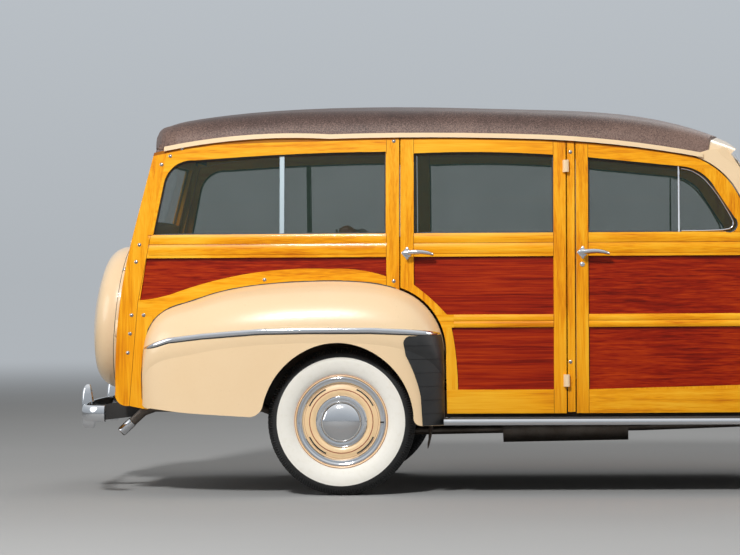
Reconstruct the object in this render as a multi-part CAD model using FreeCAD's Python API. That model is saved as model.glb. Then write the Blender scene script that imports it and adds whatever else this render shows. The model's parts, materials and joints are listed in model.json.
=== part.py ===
import FreeCAD, Part
import math
import os

# A late-1940s wood-bodied station wagon: steel nose and separate fenders, maple framing with
# mahogany panels from the cowl back, a stretched fabric roof, four side doors, a lift gate over a
# drop tailgate that carries the covered spare wheel, and a ladder frame on beam axles with
# transverse springs. Millimetres. X runs forward and is counted from the rear axle, Z from the
# floor. The right side is modelled at negative Y and mirrored. At the end every piece is shifted
# so that X is zero half-way between the two ends of the car.

V = FreeCAD.Vector

# Overall sizes
COWL_FRONT_X = 2294.0
DASH_TO_AXLE = 602.0
FRONT_OVERHANG = 838.0
WHEELBASE = COWL_FRONT_X + DASH_TO_AXLE
REAR_FACE = -1326.0
FRONT_FACE = WHEELBASE + FRONT_OVERHANG
MIDDLE = (REAR_FACE + FRONT_FACE) / 2

# Wheels and tyres
TYRE_R = 355.0
TYRE_W = 160.0
BEAD_R = 203.0
RIM_R = 221.0
TREAD_FRONT = 1473.0
TREAD_REAR = 1524.0
DRUM_R = 150.0
SPINDLE_R = 20.0
FIT = 0.3
KINGPIN_Y = 650.0
STEER_ARM = 130.0
HUB_Z = TYRE_R

# Wooden body side, one cylinder of large radius that runs fore and aft
SIDE_R = 9368.0
SIDE_Y = 770.0
SIDE_Z = 640.0
WALL = 45.0
PANEL_DEPTH = 12.0
PANEL_T = 8.0
GLASS_DEPTH = 22.0
GLASS_T = 5.0
GAP = 6.0
PILLAR_X0 = 1086.0
PILLAR_X1 = 1122.0
C_LINE = 281.0
SILL_Z = 389.0
REAR_TAPER = 0.050
FRONT_TAPER = 0.047
DOOR_FRONT_X = 2040.0

# Belt, rails and window heights
WINDOW_Z = 1256.0
BELT_Z = 1143.0
BELT_RIBS = (1157.0, 1208.0, WINDOW_Z)
MID_RAIL = (802.0, 864.0)
MID_RIBS = (MID_RAIL[0], 832.0, MID_RAIL[1])
RIB_DEPTH = 5.0
RIB_CREST = 0.4
LOW_RAIL_Z = 503.0

# Cant rail under the roof's edge, measured up from the doors' top line
RAIL_X0 = -872.0
RAIL_X1 = 1700.0
RAIL_TOP = 18.0

# Rear profile: upright at REAR_Z, then one large arc up to the split, then straight
REAR_X = -1107.0
REAR_Z = 560.0
REAR_R = 2768.0
GATE_Y = 585.0
GATE_Z = 470.0
GATE_SPLIT = 1262.0
GATE_TOP = 1668.0
TAILGATE_HINGE = (-1078.0, 455.0)
LIFT_HINGE = (-926.0, 1676.0)
GATE_HINGES = ((-350.0, -290.0), (290.0, 350.0))
GATE_HINGE_R = 8.0
LIFT_HINGE_R = 5.0
HOOD_HINGE = (2297.5, 1218.0)
HOOD_HINGE_Y = (20.0, 60.0)
COVER_R = 360.0
COVER_DEPTH = 219.0
COVER_Z = 842.0
COVER_BACK = 17.0
COVER_BAND = (51.0, 67.0)
COVER_BALL_R = 966.0
COVER_CORNER = 112.0
COVER_T = 3.0

# Side door hinges
HINGE_OUT = 16.0
HINGE_R = 13.0
HINGE_H = 58.0
REAR_DOOR_HINGES = (546.0, 1575.0)
FRONT_DOOR_HINGES = (546.0, 1150.0)

# Frame rails and the bumper arms beside them
RAIL_Y0 = 350.0
RAIL_Y1 = 400.0
RAIL_Z = 479.7
ARM_Y = 399.0
REAR_SPRING_Z = 478.0
FRONT_SPRING_Z = 452.0
CROSS_X = WHEELBASE + 30
RADIATOR_X = WHEELBASE + 354
RADIATOR_Z = 480.0

# Sheet metal
SHEET = 8.0
ARCH_R = 392.0
ROOF_T = 22.0
RUN_BOARD_Z = (340.0, 368.0)
RUN_BOARD_Y = 870.0
FRONT_FENDER_X = 2048.0

THROUGH = (-980.0, -400.0)


# Geometry helpers

def arc(a, m, b):
    return Part.Arc(a, m, b).toShape()


def outline_wire(start, segments, y):
    """Closed side-view wire at one Y. A segment is (x, z), or ((xm, zm), (x, z)) for an arc."""
    here = V(start[0], y, start[1])
    first = here
    edges = []
    for seg in segments:
        if isinstance(seg[0], tuple):
            end = V(seg[1][0], y, seg[1][1])
            edges.append(arc(here, V(seg[0][0], y, seg[0][1]), end))
        else:
            end = V(seg[0], y, seg[1])
            edges.append(Part.makeLine(here, end))
        here = end
    if here.distanceToPoint(first) > 1e-6:
        edges.append(Part.makeLine(here, first))
    return Part.Wire(edges)


def prism(y0, y1, start, *segments):
    """Side-view outline pushed through from y0 to y1."""
    return Part.Face(outline_wire(start, segments, y0)).extrude(V(0, y1 - y0, 0))


def through(outline):
    return prism(*THROUGH, *outline)


def plan(z0, z1, *points):
    """Plan-view polygon between two heights."""
    pts = [V(x, y, z0) for x, y in points]
    return Part.Face(Part.makePolygon(pts + pts[:1])).extrude(V(0, 0, z1 - z0))


def block(x0, x1, y0, y1, z0, z1):
    return Part.makeBox(x1 - x0, y1 - y0, z1 - z0, V(x0, y0, z0))


def rod(a, b, r):
    a, b = V(*a), V(*b)
    return Part.makeCylinder(r, (b - a).Length, a, b - a)


def fuse(shapes):
    shapes = list(shapes)
    if len(shapes) == 1:
        return shapes[0]
    return shapes[0].multiFuse(shapes[1:]).removeSplitter()


def mirror(shape):
    return shape.mirror(V(0, 0, 0), V(0, 1, 0))


def both(shape):
    return Part.makeCompound([shape, mirror(shape)])


def loft(wires, ruled=False):
    return Part.makeLoft(wires, True, ruled)


def revolved(points, arcs=()):
    """Solid of revolution about Y from a closed (y, radius) outline. An index in arcs marks the middle of an arc."""
    pts = [V(0, y, r) for y, r in points]
    edges = []
    i = 0
    while i < len(pts):
        if i + 1 in arcs:
            edges.append(arc(pts[i], pts[i + 1], pts[(i + 2) % len(pts)]))
            i += 2
        else:
            edges.append(Part.makeLine(pts[i], pts[(i + 1) % len(pts)]))
            i += 1
    return Part.Face(Part.Wire(edges)).revolve(V(0, 0, 0), V(0, 1, 0), 360)


def placed(shape, x, y, z):
    moved = shape.copy()
    moved.translate(V(x, y, z))
    return moved


# The wooden side wall

def side_y(z, depth=0.0):
    """Half-width at height z, at a depth inside the outer face."""
    return SIDE_Y - SIDE_R + math.sqrt((SIDE_R - depth) ** 2 - (z - SIDE_Z) ** 2)


def inset(x):
    """How far the side is drawn in where the body narrows towards its ends."""
    if x < C_LINE:
        return (C_LINE - x) * REAR_TAPER
    if x > PILLAR_X1:
        return (x - PILLAR_X1) * FRONT_TAPER
    return 0.0


def band(x0, x1, depth0, depth1, z0=300.0, z1=1800.0):
    """Right-hand wall between two depths. It may not span a change of taper."""
    zm = (z0 + z1) / 2
    pts = [V(x0, -(side_y(z, d) - inset(x0)), z)
           for d, zs in ((depth0, (z0, zm, z1)), (depth1, (z1, zm, z0))) for z in zs]
    edges = [arc(*pts[:3]), Part.makeLine(pts[2], pts[3]), arc(*pts[3:]), Part.makeLine(pts[5], pts[0])]
    return Part.Face(Part.Wire(edges)).extrude(V(x1 - x0, inset(x1) - inset(x0), 0))


def long_band(x0, x1, depth0, depth1, z0=300.0, z1=1800.0):
    """The same wall across the changes of taper, as one solid for each stretch."""
    cuts = [x0] + [x for x in (C_LINE, PILLAR_X1) if x0 < x < x1] + [x1]
    return [band(a, b, depth0, depth1, z0, z1) for a, b in zip(cuts, cuts[1:])]


def rib_cutter(x0, x1, creases):
    """Takes the wall's face down to crowned ribs that meet at the creases."""
    def on_wall(z, depth):
        return V(x0, -(side_y(z, depth) - inset(x0)), z)
    low, high = creases[0], creases[-1]
    corners = [on_wall(high, RIB_DEPTH), on_wall(high, -WALL), on_wall(low, -WALL), on_wall(low, RIB_DEPTH)]
    edges = [Part.makeLine(p, q) for p, q in zip(corners, corners[1:])]
    for a, b in zip(creases, creases[1:]):
        edges.append(arc(on_wall(a, RIB_DEPTH), on_wall((a + b) / 2, RIB_CREST), on_wall(b, RIB_DEPTH)))
    return Part.Face(Part.Wire(edges)).extrude(V(x1 - x0, inset(x1) - inset(x0), 0))


# Top line of the doors, from the rear header to the foot of the windscreen header
TOP_START = (-925.0, 1646.0)
TOP_ARCS = (((-620.0, 1697.0), (-58.0, 1711.0)), ((281.0, 1715.0), (957.0, 1702.0)),
            ((1400.0, 1664.0), (1760.0, 1606.0)))


def circle_through(a, b, c):
    """Centre and radius of the circle through three (x, z) points."""
    (ax, az), (bx, bz), (cx, cz) = a, b, c
    d = 2 * (ax * (bz - cz) + bx * (cz - az) + cx * (az - bz))
    a2, b2, c2 = ax * ax + az * az, bx * bx + bz * bz, cx * cx + cz * cz
    x = (a2 * (bz - cz) + b2 * (cz - az) + c2 * (az - bz)) / d
    z = (a2 * (cx - bx) + b2 * (ax - cx) + c2 * (bx - ax)) / d
    return x, z, math.hypot(ax - x, az - z)


def arc_z(x, a, b, c):
    """Height of an arched line at x."""
    cx, cz, r = circle_through(a, b, c)
    return cz + math.sqrt(r * r - (x - cx) ** 2)


def top_z(x):
    """Height of the top line at x. Its last arc runs on past its end."""
    starts = [TOP_START] + [end for mid, end in TOP_ARCS[:-1]]
    for start, (mid, end) in zip(starts, TOP_ARCS):
        if x <= end[0]:
            break
    return arc_z(x, start, mid, end)


def under_top(dz, z_low=200.0):
    """Everything below the top line raised by dz."""
    x0, z0 = TOP_START
    x1, z1 = TOP_ARCS[-1][1]
    raised = [((m[0], m[1] + dz), (e[0], e[1] + dz)) for m, e in TOP_ARCS]
    return through(((x0 - 300, z_low), (x0 - 300, z0 + dz - 60), (x0, z0 + dz), *raised, (x1 + 500, z1 + dz),
                    (x1 + 500, z_low)))


# Side-view outlines of the wooden side
FENDER_LINE = ((284.0, 994.0), (430.0, 893.0), (502.0, 660.0))
DOOR_REAR_X = C_LINE + GAP / 2
REAR_DOOR_FRONT = PILLAR_X0 - GAP
REAR_DOOR = (FENDER_LINE[0], (FENDER_LINE[1], FENDER_LINE[2]), (506, SILL_Z), (REAR_DOOR_FRONT, SILL_Z),
             (REAR_DOOR_FRONT, 1790), (FENDER_LINE[0][0], 1790))
REAR_WINDOW = ((348, WINDOW_Z), (1020, WINDOW_Z), (1020, 1631), ((690, 1646), (348, 1642)))
REAR_UPPER = ((348, BELT_Z), (348, 1008), ((440, 932), (506, MID_RAIL[1])), (1020, MID_RAIL[1]), (1020, BELT_Z))
REAR_LOWER = ((529, MID_RAIL[0]), ((550, 660), (558, LOW_RAIL_Z)), (1020, LOW_RAIL_Z), (1020, MID_RAIL[0]))
FRONT_DOOR_REAR = PILLAR_X1 + GAP
A_EDGE = ((DOOR_FRONT_X, 1225), (1917, 1414), ((1836, 1530), (1700, 1614)))
FRONT_DOOR = ((FRONT_DOOR_REAR, SILL_Z), (DOOR_FRONT_X, SILL_Z), *A_EDGE, (1560, 1790), (FRONT_DOOR_REAR, 1790))
FRONT_WINDOW = ((1187, WINDOW_Z), (1845, WINDOW_Z), ((1903, 1278), (1890, 1325)), (1800, 1462),
                ((1745, 1530), (1655, 1570)), (1187, 1618))
FRONT_UPPER = ((1187, BELT_Z), (1187, MID_RAIL[1]), (1975, MID_RAIL[1]), (1975, BELT_Z))
FRONT_LOWER = ((1187, MID_RAIL[0]), (1187, LOW_RAIL_Z), (1975, LOW_RAIL_Z + 18), (1975, MID_RAIL[0]))
QUARTER_WINDOW = ((-921, WINDOW_Z), (213, WINDOW_Z), (213, 1651), ((-190, 1645), (-594, 1625)),
                  (-720, 1617), ((-820, 1588), (-869, 1510)))
QUARTER_PANEL = ((-953, BELT_Z), (-985, 940), ((-905, 950), (-820, 972)), ((-445, 1067), (-57, 1087)),
                 ((90, 1080), (216, 1049)), (216, BELT_Z))


def rear_x(z):
    """X of the rear profile at height z."""
    slope = (GATE_SPLIT - REAR_Z) / REAR_R
    low = min(max(z, REAR_Z), GATE_SPLIT) - REAR_Z
    return REAR_X + low ** 2 / (2 * REAR_R) + max(z - GATE_SPLIT, 0.0) * slope


def rear_band(y0, y1, z0, z1, depth0, depth1):
    """Slab that follows the rear profile between two heights and two depths."""
    zs = (z0, (z0 + z1) / 2, z1)
    outer = [(rear_x(z) + depth0, z) for z in zs]
    inner = [(rear_x(z) + depth1, z) for z in zs]
    if z0 >= GATE_SPLIT or z1 <= REAR_Z:
        return prism(y0, y1, outer[0], outer[2], inner[2], inner[0])
    return prism(y0, y1, outer[0], (outer[1], outer[2]), inner[2], (inner[1], inner[0]))


# Wooden body

def rear_header():
    x, z = LIFT_HINGE
    rail = rear_band(-GATE_Y - 20, GATE_Y + 20, GATE_TOP + GAP, 1698, 8, 75)
    brackets = [block(x + LIFT_HINGE_R + FIT, x + 26, a, b, GATE_TOP + GAP, 1688) for a, b in GATE_HINGES]
    return fuse([rail, *brackets])


def hinge_pads(x, heights):
    """Pads on a pillar's outer face that the side door's barrels turn against."""
    pads = []
    for z in heights:
        y = side_y(z) - inset(x)
        pads.append(block(x, x + 24, -y - HINGE_OUT + HINGE_R + 1.5 * FIT, -y + 8, z - 10, z + 10))
    return pads


def body_framing():
    """Maple: quarter frame with rear post, B pillar, cant rail and rear header."""
    x_end = C_LINE - GAP / 2
    wall = band(-1140, x_end, 0.0, WALL)
    outline = ((x_end, 1790), (x_end, 985), ((90, 1012), (-54, 1020)), ((-450, 995), (-860, 885)),
               ((-955, 740), (-966, 600)), (-950, 410), (-1040, 429), ((-1094, 447), (REAR_X, 500)), (REAR_X, REAR_Z),
               ((rear_x(900), 900), (rear_x(GATE_SPLIT), GATE_SPLIT)), (rear_x(1690), 1690), (-700, 1790))
    quarter = wall.common(through(outline)).common(under_top(GAP + 2)).cut(through(QUARTER_WINDOW))
    quarter = quarter.cut(band(-1140, x_end, -1.0, PANEL_DEPTH + PANEL_T).common(through(QUARTER_PANEL)))
    quarter = quarter.cut(rib_cutter(-945, 216, BELT_RIBS))
    post = rear_band(-720, -GATE_Y - GAP, 500, GATE_SPLIT, 0, 60).fuse(
        rear_band(-720, -GATE_Y - GAP, GATE_SPLIT, 1672, 0, 60))
    post = post.common(band(-1140, -800, WALL - 2, 300.0))
    pillar = band(PILLAR_X0, PILLAR_X1, 0.0, WALL + GAP - FIT, 395, 1780).common(under_top(GAP + 2))
    flange = [b.common(under_top(RAIL_TOP)).cut(under_top(GAP, 100))
              for b in long_band(RAIL_X0, RAIL_X1, 0.0, 90.0)]
    stop = [b.common(under_top(GAP + 2)).cut(under_top(-28, 100))
            for b in long_band(RAIL_X0, RAIL_X1, WALL + GAP, 90.0)]
    side = fuse([*flange, *stop, pillar, quarter, post, *hinge_pads(PILLAR_X0, REAR_DOOR_HINGES)])
    return fuse([side, mirror(side), rear_header()])


def quarter_panels():
    return both(band(-1140, C_LINE, PANEL_DEPTH, PANEL_DEPTH + PANEL_T).common(through(QUARTER_PANEL)))


def hinge_line(x, heights):
    """Two points on a side door's hinge axis."""
    return [V(x, -(side_y(z) - inset(x) + HINGE_OUT), z) for z in heights]


def hinge_barrels(x, heights, edge):
    """Barrels on the hinge axis, each with a leaf let into the edge of the door."""
    low, high = hinge_line(x, heights)
    up = (high - low).normalize()
    parts = []
    for p in (low, high):
        parts.append(Part.makeCylinder(HINGE_R, HINGE_H, p - up * (HINGE_H / 2), up))
        parts.append(block(edge - 14, x, p.y, p.y + HINGE_OUT + 8, p.z - HINGE_H / 2, p.z + HINGE_H / 2))
    return parts


def handle(x, z):
    """Four-lobed escutcheon and a lever that points forward."""
    y = -(side_y(z) - inset(x))
    plate = rod((x, y + 3, z), (x, y - 5, z), 21)
    stem = rod((x, y, z), (x, y - 44, z), 9)
    bend = (x + 62, y - 46, z + 3)
    lever = [rod((x - 6, y - 42, z), bend, 9), rod(bend, (x + 122, y - 38, z - 3), 7)]
    return [plate, stem, *lever]


def door(outline, window, panels, x0, x1, ribs, hardware):
    """Right-hand door: maple frame with its hinges and handle, mahogany panels, glass."""
    frame = band(x0, x1, 0.0, WALL).common(through(outline)).common(under_top(0)).cut(through(window))
    cutters = [through(p) for p in panels]
    recess = band(x0, x1, -1.0, PANEL_DEPTH + PANEL_T)
    for c in cutters:
        frame = frame.cut(recess.common(c))
    for a, b, creases in ribs:
        frame = frame.cut(rib_cutter(a, b, creases))
    sheet = band(x0, x1, PANEL_DEPTH, PANEL_DEPTH + PANEL_T)
    panel = Part.makeCompound([sheet.common(c) for c in cutters])
    glass = band(x0, x1, GLASS_DEPTH, GLASS_DEPTH + GLASS_T).common(through(window))
    return fuse([frame, *hardware]), panel, glass


REAR_HINGE_X = REAR_DOOR_FRONT + 3
FRONT_HINGE_X = DOOR_FRONT_X + 3


def rear_door():
    ribs = ((348, 1020, BELT_RIBS), (540, 1020, MID_RIBS))
    parts = hinge_barrels(REAR_HINGE_X, REAR_DOOR_HINGES, REAR_DOOR_FRONT) + handle(316, 1160)
    return door(REAR_DOOR, REAR_WINDOW, (REAR_UPPER, REAR_LOWER), DOOR_REAR_X, REAR_DOOR_FRONT, ribs, parts)


def front_door():
    ribs = ((1187, 1975, BELT_RIBS), (1187, 1975, MID_RIBS))
    parts = hinge_barrels(FRONT_HINGE_X, FRONT_DOOR_HINGES, DOOR_FRONT_X) + handle(1160, 1160)
    return door(FRONT_DOOR, FRONT_WINDOW, (FRONT_UPPER, FRONT_LOWER), FRONT_DOOR_REAR, DOOR_FRONT_X, ribs, parts)


def domed_drum(r, start, front, corner):
    """Drum along Y whose front is a shallow ball with a rounded corner."""
    form = rod((0, start, 0), (0, front + 50, 0), r).common(Part.makeSphere(COVER_BALL_R, V(0, front - COVER_BALL_R, 0)))
    rim = [e for e in form.Edges if len(e.Vertexes) == 1 and e.BoundBox.YMin > start + 1]
    return form.makeFillet(corner, rim)


def spare_cover():
    """Domed pressed cover with its clamp band, open towards the gate, on the carrier's post."""
    skirt = COVER_R - 4
    band_from, band_to = COVER_BAND
    outer = domed_drum(COVER_R, band_from, COVER_DEPTH, COVER_CORNER)
    back = rod((0, COVER_BACK, 0), (0, band_to, 0), skirt)
    clamp = rod((0, band_from, 0), (0, band_to, 0), COVER_R + 2)
    inner = domed_drum(skirt - COVER_T, COVER_BACK - 5, COVER_DEPTH - COVER_T, COVER_CORNER)
    post = rod((0, FIT, 0), (0, COVER_DEPTH - COVER_T + 0.5, 0), 60)
    cover = outer.fuse(back).fuse(clamp).cut(inner).fuse(post)
    tilt = math.atan((COVER_Z - REAR_Z) / REAR_R)
    out = V(-math.cos(tilt), 0, math.sin(tilt))
    cover.Placement = FreeCAD.Placement(V(rear_x(COVER_Z), 0, COVER_Z), FreeCAD.Rotation(V(0, 1, 0), out))
    return cover


def tailgate():
    """Maple frame, mahogany panels and the round spare wheel cover."""
    top = GATE_SPLIT - GAP / 2
    x, z = TAILGATE_HINGE
    hinges = [rod((x, a, z), (x, b, z), GATE_HINGE_R) for a, b in GATE_HINGES]
    leaves = [block(x - GATE_HINGE_R, x + 4, a, b, z, GATE_Z + 10) for a, b in GATE_HINGES]
    frame = fuse([rear_band(-GATE_Y, GATE_Y, REAR_Z, top, 0, 40), rear_band(-GATE_Y, GATE_Y, GATE_Z, REAR_Z, 0, 40),
                  *hinges, *leaves])
    hole = [(-GATE_Y + 70, -45), (45, GATE_Y - 70)]
    for a, b in hole:
        frame = frame.cut(rear_band(a, b, REAR_Z, 1150, -5, PANEL_DEPTH + PANEL_T))
    panel = Part.makeCompound([rear_band(a, b, REAR_Z, 1150, PANEL_DEPTH, PANEL_DEPTH + PANEL_T) for a, b in hole])
    return frame, panel, spare_cover()


def liftgate():
    bottom = GATE_SPLIT + GAP / 2
    frame = rear_band(-GATE_Y, GATE_Y, bottom, GATE_TOP, 0, 35)
    window = rear_band(-GATE_Y + 62, GATE_Y - 62, bottom + 58, GATE_TOP - 55, -5, 50)
    glass = rear_band(-GATE_Y + 62, GATE_Y - 62, bottom + 58, GATE_TOP - 55, 14, 19)
    x, z = LIFT_HINGE
    hinges = [rod((x, a, z), (x, b, z), LIFT_HINGE_R) for a, b in GATE_HINGES]
    leaves = [block(x - LIFT_HINGE_R, x + 11, a, b, GATE_TOP - 18, z - 4) for a, b in GATE_HINGES]
    return fuse([frame.cut(window), *hinges, *leaves]), glass


# Roof and drip moulding
ROOF = (
    # x, crown z
    (-811, 1838), (-650, 1861), (-400, 1884), (0, 1900), (500, 1896), (1000, 1880), (1450, 1843), (1660, 1797),
    (1842, 1733),
)
ROOF_TAIL = (
    # x, gutter half-width, gutter z, crown z
    (-984, 63, 1693, 1707), (-975, 200, 1691, 1742), (-955, 343, 1689, 1777), (-925, 486, 1687, 1801),
    (-905, 558, 1686, 1810), (-890, 598, 1685, 1816), (-870, 624, 1683, 1822), (-845, 640, 1681, 1830),
)
ROOF_FRONT = (1763.0, 1835.0)
SHOULDER = ((0.952, 0.47), (0.78, 0.76))


def arched_section(x, y, z0, z1, shoulder=SHOULDER):
    """Flat-bottomed arch of three arcs. Each shoulder pair is a share of the half-width and of the height."""
    h = z1 - z0
    right = [V(x, -y, z0)] + [V(x, -a * y, z0 + b * h) for a, b in shoulder]
    left = [V(p.x, -p.y, p.z) for p in reversed(right)]
    p = right + [V(x, 0, z1)] + left
    return Part.Wire([arc(*p[0:3]), arc(*p[2:5]), arc(*p[4:7]), Part.makeLine(p[6], p[0])])


def roof_rows():
    rows = []
    for x, z1 in ROOF:
        z0 = top_z(x) + RAIL_TOP
        rows.append((x, side_y(z0) - inset(x) - 8, z0, z1))
    return rows


def roof_front(extra=0.0):
    """Upright drum whose front is the curved line where the fabric meets the header."""
    side, middle = ROOF_FRONT
    half = 680.0
    r = (half ** 2 + (middle - side) ** 2) / (2 * (middle - side))
    return Part.makeCylinder(r + extra, 700, V(middle - r, 0, 1400))


def roof():
    rows = roof_rows()
    tail = loft([arched_section(*r) for r in (*ROOF_TAIL, rows[0])], ruled=True)
    outer = loft([arched_section(*r) for r in rows]).fuse(tail)
    inner = loft([arched_section(x, y - ROOF_T, z0 - 30, z1 - ROOF_T) for x, y, z0, z1 in rows])
    seat = under_top(RAIL_TOP)
    return outer.cut(inner).common(roof_front()).cut(seat).cut(mirror(seat)).cut(rear_header())


def drip_rails():
    rail = [b.common(under_top(RAIL_TOP + 8)).cut(under_top(GAP - 2, 100))
            for b in long_band(-868, 1740, -14.0, -FIT)]
    return both(fuse(rail))


# Cowl, windscreen and header
SCREEN_BASE = V(2200, 0, 1215)
SCREEN_SIDE = V(-0.101, -0.995, 0)
SCREEN_UP = V(-0.563, 0, 0.826)


def screen_slab(a0, a1, b0, b1, t0, t1):
    """Slab in the plane of the right-hand windscreen pane, by spans across, up and through."""
    n = SCREEN_SIDE.cross(SCREEN_UP)
    if n.x > 0:
        n = n * -1
    n.normalize()
    pts = [SCREEN_BASE + SCREEN_SIDE * a + SCREEN_UP * b + n * t0 for a, b in ((a0, b0), (a1, b0), (a1, b1), (a0, b1))]
    return Part.Face(Part.makePolygon(pts + pts[:1])).extrude(n * (t1 - t0))


def cowl_hollow():
    return loft([arched_section(x, y, z0, z1, ((0.985, 0.5), (0.86, 0.86))) for x, y, z0, z1 in
                 ((2100, 696, 880, 1206), (2210, 664, 860, 1208), (COWL_FRONT_X + 1, 540, 800, 1196))])


def cowl_shell():
    """Steel cowl sides and top, windscreen frame with its pillars, and the header under the roof's front edge."""
    x0, x1 = DOOR_FRONT_X + GAP, COWL_FRONT_X
    side = band(x0, x1, 0.0, 20.0).common(
        through(((x0, SILL_Z), (x1, SILL_Z), (x1, 868), (2215, 900), (2140, 1195), (x0, 1195))))
    pillar_line = ((x0, 1190), (x0, 1228), (1923, 1417), ((1842, 1534), (1708, 1618)), (1708, 1632), (1780, 1655),
                   (1860, 1655), (2150, 1205), (2150, 1190))
    pillar = band(1700, 2200, 0.0, WALL).common(through(pillar_line))
    frame = screen_slab(-2, 690, -25, 535, -18, 18).cut(screen_slab(32, 640, 22, 485, -30, 30))
    shell = loft([arched_section(x, y, z0, z1, ((0.985, 0.5), (0.86, 0.86))) for x, y, z0, z1 in
                  ((2120, 712, 1000, 1222), (2210, 680, 960, 1224), (COWL_FRONT_X, 556, 886, 1212))])
    top = shell.cut(cowl_hollow())
    header = prism(-690, 690, (1740, 1625), (1740, 1790), (1835, 1737), ((1850, 1733), (1863, 1722)), (1908, 1660),
                   (1870, 1625))
    limit_rows = [(x, y, z0 - 60, z1) for x, y, z0, z1 in roof_rows()[-3:]]
    x, y, z0, z1 = limit_rows[-1]
    limit = loft([arched_section(*r) for r in (*limit_rows, (x + 100, y - 14, z0 - 20, z1 - 48))])
    header = header.common(limit).cut(roof_front(FIT))
    upper = fuse([pillar, mirror(pillar), header]).cut(roof())
    x, z = HOOD_HINGE
    hinge = [rod((x, -HOOD_HINGE_Y[0], z), (x, HOOD_HINGE_Y[0], z), LIFT_HINGE_R),
             block(x - 20, x - 1.5, -HOOD_HINGE_Y[0], HOOD_HINGE_Y[0], z - 14, z + 2)]
    side = fuse([side, *hinge_pads(x0, FRONT_DOOR_HINGES)])
    return fuse([side, mirror(side), upper, frame, mirror(frame), top, *hinge])


def fixed_glass():
    screen = screen_slab(32, 640, 22, 485, -3, 3)
    quarter = band(-1140, C_LINE, GLASS_DEPTH, GLASS_DEPTH + GLASS_T).common(through(QUARTER_WINDOW))
    return Part.makeCompound([screen, mirror(screen), quarter, mirror(quarter)])


# Fenders

REAR_FENDER = (
    # x, outer half-width, top z
    (-968, 730, 640), (-950, 765, 790), (-905, 800, 862), (-800, 850, 918), (-600, 900, 978), (-300, 924, 1022),
    (0, 926, 1030), (180, 922, 1014),
)
REAR_FENDER_NOSE = (
    # x, outer half-width
    (330, 905), (420, 870), (468, 832), (493, 788),
)
FENDER_GAP = 8.0
SHIELD = ((394, 337), (386, 478), ((350, 600), (317, 672)), (308, 721), ((320, 757), (348, 764)), (460, 769),
          (493, 769), (493, 337))
SHIELD_T = 6.0
SHIELD_GROOVES = tuple(717.0 - 65 * i for i in range(6))


def rear_fender_rows():
    a, b, c = FENDER_LINE
    cx, cz, r = circle_through(a, b, c)
    rows = list(REAR_FENDER)
    for x, y in REAR_FENDER_NOSE:
        rows.append((x, y, cz + math.sqrt((r - FENDER_GAP) ** 2 - (x - cx) ** 2)))
    return rows


def fender_section(x, y_in, y_body, y_out, z_top, z_bot):
    """Closed section: flat inside, rolled outer wall and a shoulder that runs in to the body."""
    z_sh = z_bot + 0.62 * (z_top - z_bot)
    mid = (y_body + 0.76 * (y_out - y_body), z_sh + 0.70 * (z_top - z_sh))
    p = [V(x, -y, z) for y, z in ((y_in, z_bot), (y_out - 4, z_bot), (y_out, z_sh), mid, (y_body, z_top), (y_in, z_top))]
    return Part.Wire([Part.makeLine(p[0], p[1]), Part.makeLine(p[1], p[2]), arc(p[2], p[3], p[4]),
                      Part.makeLine(p[4], p[5]), Part.makeLine(p[5], p[0])])


def rear_fender_body(swell=0.0, lift=0.0):
    """The fender's outer form, its wall moved out by swell and its other faces by lift."""
    return loft([fender_section(x, 560 - lift, side_y(z) - inset(x) - 12 + lift, y + swell, z + lift, 250 - lift)
                 for x, y, z in rear_fender_rows()])


def gravel_shield():
    """Rubber guard over the rear fender's nose, grooved across."""
    shield = rear_fender_body(SHIELD_T, 2.0).common(through(SHIELD))
    for b in long_band(200, 600, -10.0, 400.0):
        shield = shield.cut(b)
    shield = shield.cut(rear_fender_body(FIT, FIT))
    groove_floor = rear_fender_body(SHIELD_T / 2, 1.0)
    for z in SHIELD_GROOVES:
        shield = shield.cut(block(250, 520, -1000, -700, z - 2.5, z + 2.5).cut(groove_floor))
    return shield


def rear_fender():
    """Right rear fender, open below and towards the body, with its wheel arch."""
    rows = rear_fender_rows()
    inner = loft([fender_section(x, 540, side_y(z) - inset(x) - 12 - SHEET, y - SHEET, z - SHEET, 230)
                  for x, y, z in rows[1:-1]])
    skin = rear_fender_body().cut(inner)
    for b in long_band(-1200, 700, -0.3, 400.0):
        skin = skin.cut(b)
    below = through(((-1000, 200), (-1000, 480), (-975, 470), ((-960, 425), (-925, 420)), (-745, 400), (-430, 382),
                     ((-392, 396), (-366, 438)), ((-280, 606), (-132, 711)), ((0, 734), (132, 702)),
                     ((300, 550), (352, 382)), ((365, 345), (396, 336)), (520, 332), (520, 200)))
    return skin.cut(below)


FRONT_FENDER_REAR = (
    # x, inner half-width, outer half-width, crown z, catwalk z
    (FRONT_FENDER_X, 575, 738, 905, 866), (2160, 565, 800, 926, 872),
)
FRONT_FENDER_AXLE = (
    # x from the front axle, inner half-width, outer half-width, crown z, catwalk z
    (-496, 540, 884, 958, 876), (-196, 500, 925, 976, 876), (54, 466, 926, 978, 868), (304, 432, 914, 960, 846),
    (504, 414, 888, 925, 818), (634, 408, 856, 896, 790), (704, 406, 806, 868, 766),
)
FRONT_FENDER = FRONT_FENDER_REAR + tuple((WHEELBASE + row[0], *row[1:]) for row in FRONT_FENDER_AXLE)


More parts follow.
